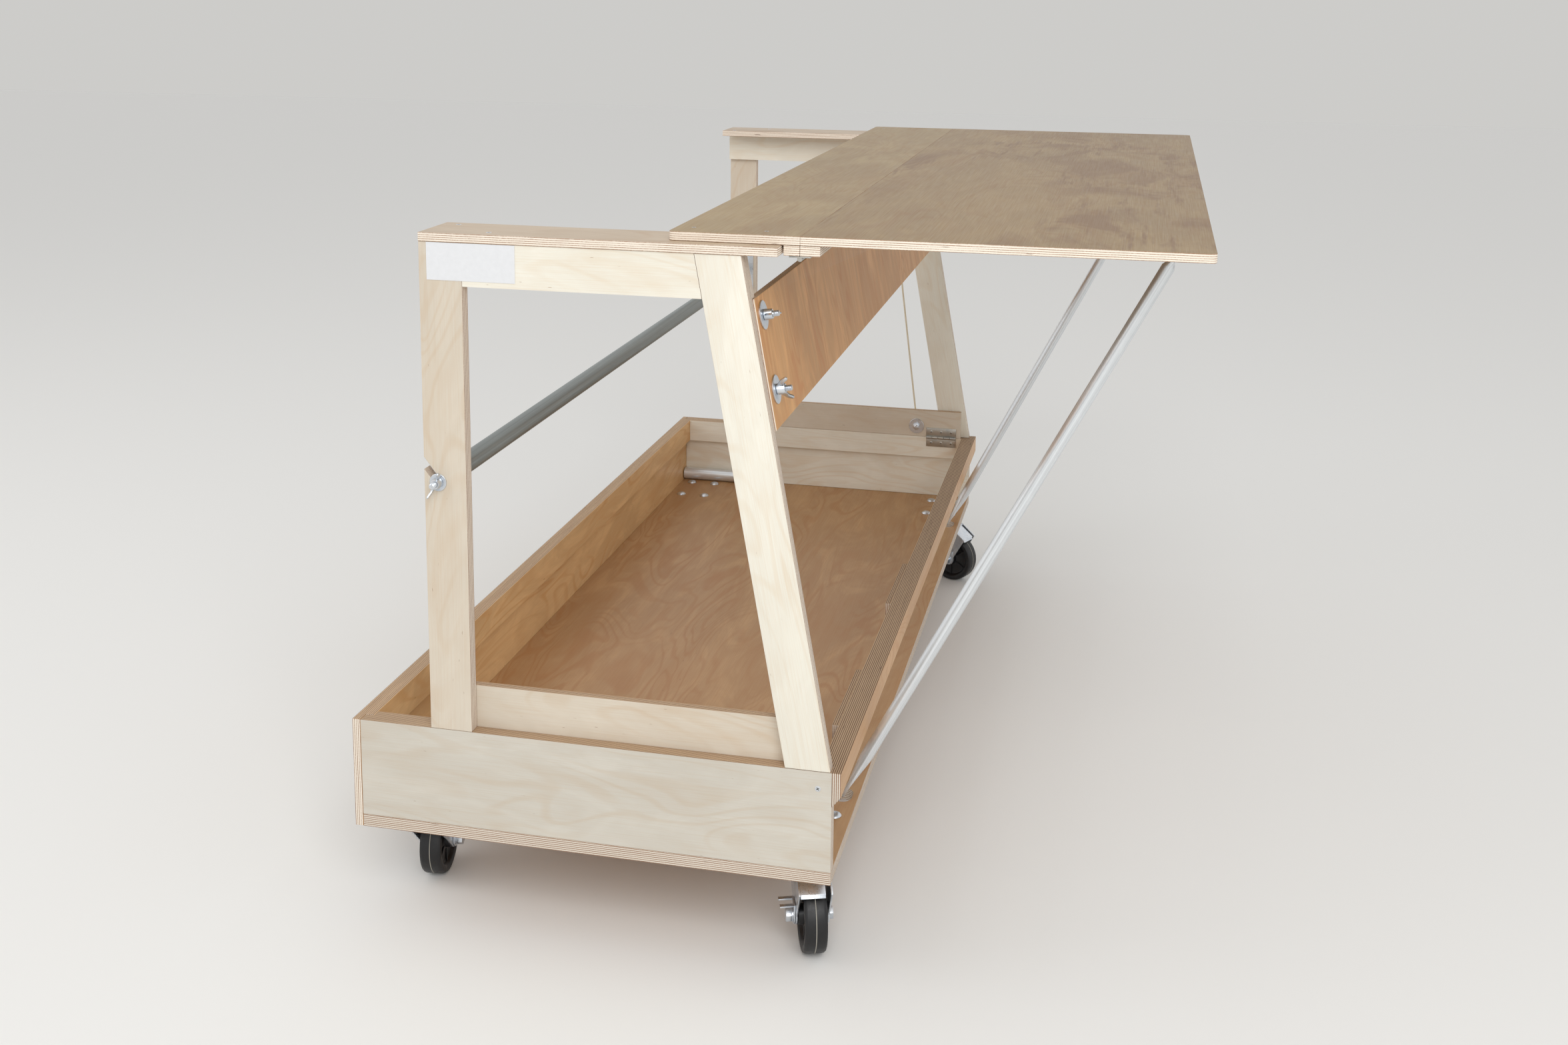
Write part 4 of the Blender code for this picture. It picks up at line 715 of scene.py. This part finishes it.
class PASTING_OT_apron_fixings(bpy.types.Operator):
    """Carriage bolts, fender washers and wing nuts of the apron"""
    bl_idname = "pasting.apron_fixings"
    bl_label = "Apron fixings"

    def execute(self, context):
        zinc = metal("zinc plated steel")
        for name, turn in APRON_NUT_TURNS.items():
            face = axes(*joint_line(f"wing_nut_{name}_turn"), SLOPE_DOWN)
            work = bmesh.new()
            spun(work, threads(2.0, BOLT_TIP), face, 24)
            spun(work, [(BOLT_RADIUS, 2.0), (BOLT_RADIUS, -30.6), (9.0, -30.6), (8.6, -31.8), (6.3, -33.8),
                        (0, -34.6)], face, 24)
            washer(work, face, FENDER_RADIUS)
            piece(f"apron_bolt_piece_{name}", work, "table", [zinc], [f"apron_bolt_{name}"])
            wing_nut_piece(f"wing_nut_{name}", face, turn)
        return {"FINISHED"}


def zinc_node(node):
    """Gives a small plate of the frame a zinc surface, with its shape as it is."""
    fitting = frame["nodes"][node]
    fitting.data.materials.clear()
    fitting.data.materials.append(metal("zinc plated steel"))


class PASTING_OT_hanging_bar(bpy.types.Operator):
    """Galvanised bar between the left legs, its bolts, washers, wing nuts and the slots' plates"""
    bl_idname = "pasting.hanging_bar"
    bl_label = "Hanging bar"

    def execute(self, context):
        zinc = metal("zinc plated steel")
        middle = at(BAR_X, LENGTH / 2, BAR_HEIGHT)
        dull = galvanised_tube("galvanised bar", context.scene.pasting_metals.bar, middle, Y, 0.46, 0.5)
        work = bmesh.new()
        along = axes(middle, Y, X)
        half = LENGTH / 2 - BAR_END_INSET
        spun(work, [(12.5, half - 1), (13.6, half), (14.0, half - 0.5), (14.0, -half + 0.5),
                    (13.6, -half), (12.5, -half + 1)], along, 40, True)
        for end in ENDS:
            face = axes(at(BAR_X, end_y(0, end), BAR_HEIGHT), outward(end), X)
            spun(work, threads(-2.0, BOLT_TIP), face, 24, index=1)
            spun(work, [(BOLT_RADIUS, -2.0), (BOLT_RADIUS, -21.2), (12.6, -21.2), (12.6, -50), (0, -50)],
                 face, 24, index=1)
            washer(work, face, BAR_WASHER_RADIUS, 40, 1)
        piece("hanging_bar", work, "bar", [dull, zinc], ["bar"])
        for end, turn in BAR_NUT_TURNS.items():
            node = f"wing_nut_bar_{end}"
            wing_nut_piece(node, axes(*joint_line(f"{node}_turn"), X), turn)
            zinc_node(f"slot_plate_{end}")
        return {"FINISHED"}


def strut_piece(end, tint):
    """Tube with both ends pressed flat, lofted through rings from its head to its foot."""
    head, pin = joint_line(f"strut_{end}_swing")
    up = Y.cross(pin) * -1
    foot = at(*STRUT_FOOT)
    length = (head.z - foot.z) / up.z / MM
    skin = galvanised_tube(f"galvanised strut {end}", tint, head, up)
    local = Matrix.Translation(head) @ Matrix((pin, Y, up)).transposed().to_4x4()
    work = bmesh.new()
    # Height over the pin, share by which the tube is pressed flat, and half width
    steps = [(11, 1, 7), (9.6, 1, 10), (5, 1, 12), (-12, 1, 12), (-20, 0.55, 11), (-28, 0, 9),
             (68 - length, 0, 9), (40 - length, 0.5, 10.5), (12 - length, 1, 12),
             (6 - length, 1, 12), (1.4 - length, 1, 10), (-length, 1, 7)]
    rings = []
    for height, flat, wide in steps:
        ring = bmesh.ops.create_circle(work, segments=32, radius=1.0)["verts"]
        for vert in ring:
            x, y = vert.co.x, vert.co.y
            pressed = max(-STRUT_FLAT_HALF, min(STRUT_FLAT_HALF, x * STRUT_RADIUS))
            vert.co = Vector(((x * STRUT_RADIUS * (1 - flat) + pressed * flat) * MM,
                              y * wide * MM, height * MM))
        rings.append(ring)
    for first, second in zip(rings, rings[1:]):
        edges = dict.fromkeys(edge for ring in (first, second) for vert in ring
                              for edge in vert.link_edges if edge.other_vert(vert) in ring)
        bmesh.ops.bridge_loops(work, edges=list(edges))
    for ring in (rings[0], rings[-1]):
        bmesh.ops.contextual_create(work, geom=ring)
    bmesh.ops.transform(work, matrix=local, verts=work.verts[:])
    piece(f"strut_tube_{end}", work, f"strut_{end}", [skin], [f"strut_{end}"],
          30.0)


def loose_tube_piece(tint):
    """Short open tube that lies on the deck at the far end."""
    low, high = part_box("loose_tube")
    middle = (low + high) / 2
    half = (high.x - low.x) / 2 / MM
    skin = galvanised_tube("galvanised loose tube", tint, middle, X)
    work = bmesh.new()
    spun(work, [(12.0, half), (13.2, half), (13.5, half - 0.4), (13.5, -half + 0.4), (13.2, -half),
                (12.0, -half)], axes(middle, X, Y), 40, True)
    piece("loose_tube_piece", work, "table", [skin], ["loose_tube"])


def stay_piece():
    """Thin rod with chamfered ends in the far frame."""
    low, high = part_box("stay_rod")
    foot, head = Vector((high.x, 0, low.z)), Vector((low.x, 0, high.z))
    foot.y = head.y = (low.y + high.y) / 2
    reach = (head - foot).length / MM - 1.0
    work = bmesh.new()
    spun(work, [(0, reach), (1.6, reach), (2.0, reach - 0.4), (2.0, 0.4), (1.6, 0), (0, 0)],
         axes(foot + (head - foot).normalized() * 0.5 * MM, head - foot, X), 20)
    piece("stay_rod_piece", work, "table", [metal("pale coated rod")], ["stay_rod"])


class PASTING_OT_tubes(bpy.types.Operator):
    """Struts with pressed ends, the loose tube on the deck and the thin stay"""
    bl_idname = "pasting.tubes"
    bl_label = "Struts and loose tube"

    def execute(self, context):
        tint = context.scene.pasting_metals.tube
        for end in ENDS:
            strut_piece(end, tint)
            zinc_node(f"strut_bracket_{end}")
        loose_tube_piece(tint)
        stay_piece()
        return {"FINISHED"}


def plate_piece(tag, swivel, zinc):
    """Top plate, race, kingpin and the four bolts through the deck."""
    work = bmesh.new()
    place = Matrix.Translation(swivel)
    corners = (arc(31, -49, 8, -90, 90, 5) + arc(31, 49, 8, 0, 90, 5) + arc(-31, 49, 8, 90, 90, 5)
               + arc(-31, -49, 8, 180, 90, 5))
    plate(work, corners, -3.3, -0.3, place, 0.5)
    spun(work, [(0, -3.0), (22.4, -3.0), (23, -3.6), (23, -7.6), (22, -8.3), (6, -8.3), (6, -17.9),
                (9.6, -17.9), (10, -18.4), (9.4, -20.6), (0, -20.9)], place, 40)
    for x in (-27, 27):
        for y in (-45, 45):
            spot = place @ moved(x, y, 0)
            spun(work, [(0, 22.8), (3.2, 22.6), (6.4, 21.8), (8.8, 20.3), (10, 18.6), (10, 18.3),
                        (3, 18.3), (3, -11.3), (0, -11.3)], spot, 28)
            plate(work, hexagon(6.2), -8.3, -3.3, spot @ turned(0.3), 0.4)
    piece(f"caster_plate_piece_{tag}", work, "table", [zinc], [f"caster_plate_{tag}"])


def fork_piece(tag, place, zinc):
    """Bent yoke with its crown, front skirt, sloping shield, cheeks, and the axle bolt and nut."""
    work = bmesh.new()
    spun(work, [(6.6, -8.6), (25.4, -8.6), (26, -9.2), (26, -14.0), (25.0, -15.2), (6.6, -15.2)],
         place, 40, True)
    stand = place @ Matrix.Rotation(RIGHT_ANGLE, 4, "X")
    bent = [(-26, -45.6), (-26, -17.0), (-25.2, -15.2), (-23.4, -14.6), (44, -14.6), (46, -16.0),
            (44.6, -18.6), (43.1, -17.6), (-23, -17.6), (-23, -45.6)]
    plate(work, bent, -YOKE_HALF, YOKE_HALF, stand, 0.4)
    # The shield stops short of the cheek beside the nut, and its lower lip turns down
    shield = [(44, -14.6), (74.8, -35.3), (75.8, -36.6), (75.8, -41.2), (73.4, -41.2), (73.2, -37.6),
              (43.1, -17.6)]
    plate(work, shield, -13.5, YOKE_HALF, stand, 0.5)
    cheek = ([(-26, -17.0), (-26, -45.6)] + arc(TRAIL, -AXLE_DROP, 13, -144, 162, 12)
             + [(74.4, -38.6), (76, -36.1), (44, -14.6), (-23.4, -14.6)])
    for low in CHEEK_LOWS:
        plate(work, cheek, low, low + CHEEK_STEEL, stand, 0.7)
    hub = place @ axes(Vector((TRAIL, 0, -AXLE_DROP)) * MM, -Y, X)
    spun(work, [(0, 26.6), (AXLE_RADIUS, 26.6), (AXLE_RADIUS, -23.3), (0, -23.3)], hub, 28)
    spun(work, [(0, 27.6), (9.4, 27.6), (9.4, 26.4), (0, 26.4)], hub, 36)
    plate(work, hexagon(9.4), 27.4, 36.4, hub @ turned(0.3), 0.9)
    plate(work, hexagon(9.4), -29.0, -23.3, hub @ turned(0.4), 0.6)
    spun(work, [(0, -29.3), (3.0, -29.3), (4.0, -28.6), (4.0, -26), (0, -26)], hub, 20)
    piece(f"fork_piece_{tag}", work, f"fork_{tag}", [zinc], [f"fork_{tag}"])


def wheel_piece(tag, place, rubber, line):
    """Wheel with a ribbed web, rounded shoulders and a raised mould line round its tread."""
    work = bmesh.new()
    half = [(6.4, 20.0), (12.2, 20.0), (13.0, 19.2), (14.3, 11.4), (18, 9.2), (33, 8.6), (36.7, 9.6),
            (39.2, 13.6), (41.2, 15.2), (46.2, 15.9), (48.5, 15.3), (50.0, 13.4), (50.7, 10.8),
            (50.85, 0.7)]
    profile = half + [(radius, -height) for radius, height in reversed(half)]
    spun(work, profile, place, 64, True)
    spun(work, [(50.6, 0.75), (51.0, 0.5), (51.0, -0.5), (50.6, -0.75)], place, 64, True, 1)
    for base, top in ((-11.2, -8.6), (8.6, 11.2)):
        for index in range(WHEEL_RIBS):
            box_between(work, Vector((14, -1.6, base)) * MM, Vector((37, 1.6, top)) * MM, 0.6,
                        place @ turned(index * FULL_TURN / WHEEL_RIBS))
    piece(f"wheel_piece_{tag}", work, f"wheel_{tag}", [rubber, line], [f"wheel_{tag}"])


def brake_piece(tag, place, zinc):
    """Pressed brake lever about the axle: boss, flared arm, and two tabs turned outward."""
    work = bmesh.new()
    outline = arc(0, 0, 12, 20, -220, 12) + [(-13, 20), (13, 20)]
    # Turns the lever's local Y to point up
    stand = place @ Matrix(((0, 1, 0, 0), (-1, 0, 0, 0), (0, 0, 1, 0), (0, 0, 0, 1)))
    plate(work, outline, 23.6, 26.1, stand, 0.5)
    for x in (-13, 6):
        low, high = Vector((x, 17.6, 25.6)) * MM, Vector((x + 7, 20, 45.4)) * MM
        box_between(work, low, high, 0.8, stand)
    piece(f"brake_piece_{tag}", work, f"brake_{tag}", [zinc], [f"brake_{tag}"])


class PASTING_OT_casters(bpy.types.Operator):
    """Casters: deck bolts, top plates, forks, axles, wheels and brake levers"""
    bl_idname = "pasting.casters"
    bl_label = "Casters"

    def execute(self, context):
        zinc, rubber = metal("zinc plated steel"), metal("black moulded rubber")
        line = metal("pale mould line")
        for side in SIDES:
            for end in ENDS:
                tag = f"{side}_{end}"
                swivel, _ = joint_line(f"swivel_{tag}")
                axle, axis = joint_line(f"wheel_spin_{tag}")
                trail = Vector((axle.x - swivel.x, axle.y - swivel.y, 0)).normalized()
                plate_piece(tag, swivel, zinc)
                fork_piece(tag, axes(swivel, Z, trail), zinc)
                wheel_piece(tag, axes(axle, axis, Z), rubber, line)
                brake_piece(tag, axes(axle, -axis, Z), zinc)
        return {"FINISHED"}


def knuckle(work, place, low, high, steps):
    """One rolled knuckle of a hinge between two heights."""
    soft = KNUCKLE_RADIUS - 0.4
    spun(work, [(0, high), (soft, high), (KNUCKLE_RADIUS, high - 0.4), (KNUCKLE_RADIUS, low + 0.4),
                (soft, low), (0, low)], place, steps)


def base_hinge_piece(end, steels):
    """Open butt hinge on the wall's top: two leaves, five knuckles and six screws."""
    face = axes(at(HINGE_X, end_y(HINGE_INSET, end), WALL_TOP), -outward(end), X)
    work = bmesh.new()
    for side in (-1, 1):
        spans = sorted((side * 1.2, side * 21.5))
        box_between(work, Vector((-HINGE_HALF, spans[0], 0)) * MM,
                    Vector((HINGE_HALF, spans[1], HINGE_THICK)) * MM, 0.4, face)
        for x in (-22.3, 0, 22.3):
            spot = face @ moved(x, side * 12.6, HINGE_THICK)
            screw_head(work, spot, 3.2, 0.6)
    pitch = 2 * HINGE_HALF / BASE_KNUCKLES
    barrel = face @ axes(Vector((0, 0, KNUCKLE_RADIUS * MM)), X, Z)
    for index in range(BASE_KNUCKLES):
        low = -HINGE_HALF + index * pitch + 0.2
        knuckle(work, barrel, low, low + pitch - 0.4, 24)
    piece(f"base_hinge_piece_{end}", work, "table", steels, [f"base_hinge_{end}"])


def leaf_hinge_piece(steels):
    """Long hinge under the seam of the leaves, with its row of knuckles."""
    low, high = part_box("leaf_hinge")
    work = bmesh.new()
    box_between(work, Vector((low.x, low.y, high.z - HINGE_THICK * MM)), high, 0.3)
    pitch = (high.y - low.y) / MM / LEAF_KNUCKLES
    line = axes(Vector(((low.x + high.x) / 2, low.y, low.z + KNUCKLE_RADIUS * MM)), Y, X)
    for index in range(LEAF_KNUCKLES):
        start = index * pitch + 0.3
        knuckle(work, line, start, start + pitch - 0.6, 12)
    piece("leaf_hinge_piece", work, "table", steels, ["leaf_hinge"])


def rail_bolt_piece(side, x):
    """Bolt through the far lower rail with its washer and nut."""
    face = axes(at(x, LENGTH - PLY - THIN_PLY, RAIL_BOLT_HEIGHT), -Y, X)
    work = bmesh.new()
    washer(work, face, RAIL_WASHER_RADIUS)
    plate(work, hexagon(8.0), 2.1, 7.6, face @ turned(0.5), 0.5)
    spun(work, threads(1.0, 12.0), face, 24)
    spun(work, [(BOLT_RADIUS, 1.0), (BOLT_RADIUS, -12.3), (9.0, -12.3), (8.4, -13.8), (5.5, -15.8),
                (0, -16.3)], face, 24)
    piece(f"rail_bolt_piece_{side}", work, "table", [metal("zinc plated steel")],
          [f"rail_bolt_{side}"])


class PASTING_OT_hinges(bpy.types.Operator):
    """Butt hinges at the frames' feet, the long hinge under the leaves and the far rail's bolts"""
    bl_idname = "pasting.hinges"
    bl_label = "Hinges and rail bolts"

    def execute(self, context):
        steels = [metal("plain hinge steel"), metal("painted recess shade")]
        for end in ENDS:
            base_hinge_piece(end, steels)
        leaf_hinge_piece(steels)
        for side, x in RAIL_BOLTS:
            rail_bolt_piece(side, x)
        return {"FINISHED"}


def screw_head(work, matrix, radius, height):
    """Low screw head standing on local z = 0, with painted shade for its cross recess: a dark cross standing
    in the head.
    """
    spun(work, [(0, height), (radius * 0.7, height), (radius, height * 0.35), (radius, 0), (0, 0)],
         matrix, 24)
    arm, half, top = radius * 0.55, radius * 0.12, height + 0.03
    # Painted shade: a thin dark cross in the head stands for the shade in its recess
    for turn in (0, RIGHT_ANGLE):
        box_between(work, Vector((-arm, -half, height * 0.5)) * MM, Vector((arm, half, top)) * MM, 0,
                    matrix @ turned(turn), 1)


class PASTING_OT_small_parts(bpy.types.Operator):
    """Screw heads and the blank label"""
    bl_idname = "pasting.small_parts"
    bl_label = "Screws and label"

    def execute(self, context):
        zinc, dark = metal("zinc plated steel"), metal("painted recess shade")
        work = bmesh.new()
        for end in ENDS:
            for index, (x, y) in enumerate(CAP_SCREWS):
                spin = turned(0.4 + index)
                screw_head(work, axes(at(x, end_y(y, end), CAP_TOP), Z, X) @ spin, 3.8, 0.25)
            spot = at(659.4, end_y(0, end), 134.4)
            screw_head(work, axes(spot, outward(end), X) @ turned(0.6), 4.0, 0.5)
            screw_head(work, axes(at(163, end_y(19.9, end), 486), -outward(end), X), 3.6, 0.9)
            for index, (x, y) in enumerate(LEAF_SCREWS):
                spin = turned(0.9 - index)
                top = axes(at(x, end_y(y, end), LEAF_TOP - 0.05), Z, X) @ spin
                screw_head(work, top, 4.2, 0.05)
        piece("screws", work, "table", [zinc, dark], ())
        work = bmesh.new()
        box_between(work, at(*LABEL_LOW), at(*LABEL_HIGH))
        piece("blank_label", work, "table", [metal("blank label stock")], ())
        return {"FINISHED"}


def pale_floor(values):
    """Large matt floor under the casters."""
    work = bmesh.new()
    bmesh.ops.create_grid(work, x_segments=1, y_segments=1, size=FLOOR_HALF)
    made, _, shader = surface("plain pale floor")
    shader.inputs["Base Color"].default_value = (*values.floor, 1.0)
    shader.inputs["Roughness"].default_value = 0.85
    floor = to_object("floor", work, [made])


def backdrop(values):
    """World that lights evenly, and that metals and the camera see in tones of their own."""
    world = bpy.data.worlds.new("soft studio")
    world.use_nodes = True
    tree = world.node_tree
    back = tree.nodes["Background"]
    back.inputs["Color"].default_value = (1.0, 1.0, 1.0, 1.0)
    back.inputs["Strength"].default_value = values.ambient
    # Seen directly the backdrop has the tone of the lit floor far off, so that little horizon shows
    tone = darker(values.floor, values.ambient + 0.04)
    shown = add(tree, "Background", {"Color": tone, "Strength": 1.0})
    shone = add(tree, "Background", {"Color": (0.9, 0.9, 0.9, 1.0), "Strength": 1.0})
    path = add(tree, "LightPath")
    glossy = add(tree, "MixShader", {0: path.outputs["Is Glossy Ray"], 1: back.outputs[0],
                                     2: shone.outputs[0]})
    blend = add(tree, "MixShader", {0: path.outputs["Is Camera Ray"], 1: glossy.outputs[0],
                                    2: shown.outputs[0]})
    tree.links.new(blend.outputs[0], tree.nodes["World Output"].inputs["Surface"])
    return world


def soft_light(name, place, aim, power):
    """Large square light pointed at the table."""
    data = bpy.data.lights.new(name, "AREA")
    data.shape = "SQUARE"
    data.size = LAMP_SIZE
    data.energy = power
    lamp = bpy.data.objects.new(name, data)
    lamp.location = place
    lamp.rotation_euler = (aim - place).to_track_quat("-Z", "Y").to_euler()
    bpy.context.scene.collection.objects.link(lamp)


class PASTING_OT_stage(bpy.types.Operator):
    """Plain pale floor, soft lights and the camera"""
    bl_idname = "pasting.stage"
    bl_label = "Stage and camera"

    def execute(self, context):
        scene, values = context.scene, context.scene.pasting_stage
        pale_floor(values)
        scene.world = backdrop(values)
        aim = at(*LAMP_AIM)
        soft_light("key light", aim + KEY_PLACE, aim, values.key_power)
        soft_light("fill light", aim + FILL_PLACE, aim, values.fill_power)
        data = bpy.data.cameras.new("photo camera")
        data.sensor_width = 36.0
        data.lens = values.lens
        data.shift_y = values.drop
        data.clip_end = 60.0
        camera = bpy.data.objects.new("photo camera", data)
        camera.location = at(*CAMERA_PLACE)
        camera.rotation_euler = CAMERA_TURN
        scene.collection.objects.link(camera)
        scene.camera = camera
        scene.view_settings.view_transform = "Standard"
        return {"FINISHED"}


class PASTING_PT_panel(bpy.types.Panel):
    """Lists the steps and sizes of the pasting table"""
    bl_label = "Pasting Table"
    bl_idname = "PASTING_PT_panel"
    bl_space_type = "VIEW_3D"
    bl_region_type = "UI"
    bl_category = "Pasting Table"

    def draw(self, context):
        column = self.layout.column()
        for group in GROUPS:
            values = getattr(context.scene, group)
            for name in values.__annotations__:
                column.prop(values, name)
        for step in STEPS:
            column.operator(step.bl_idname)


STEPS = (PASTING_OT_boards, PASTING_OT_slanted_legs, PASTING_OT_apron_fixings, PASTING_OT_hanging_bar,
         PASTING_OT_tubes, PASTING_OT_casters, PASTING_OT_hinges, PASTING_OT_small_parts,
         PASTING_OT_stage)
GROUPS = {"pasting_woods": PastingWoodSettings, "pasting_metals": PastingMetalSettings,
          "pasting_stage": PastingStageSettings}


def register():
    """Adds the settings, the steps and their panel."""
    for group in GROUPS.values():
        bpy.utils.register_class(group)
    for step in (*STEPS, PASTING_PT_panel):
        bpy.utils.register_class(step)
    for name, group in GROUPS.items():
        setattr(bpy.types.Scene, name, PointerProperty(type=group))


def unregister():
    """Takes the settings, the steps and their panel out again."""
    for name in GROUPS:
        delattr(bpy.types.Scene, name)
    for step in (PASTING_PT_panel, *reversed(STEPS)):
        bpy.utils.unregister_class(step)
    for group in GROUPS.values():
        bpy.utils.unregister_class(group)


def main():
    """Runs every step."""
    register()
    for step in STEPS:
        group, name = step.bl_idname.split(".")
        getattr(getattr(bpy.ops, group), name)()


if __name__ == "__main__":
    main()
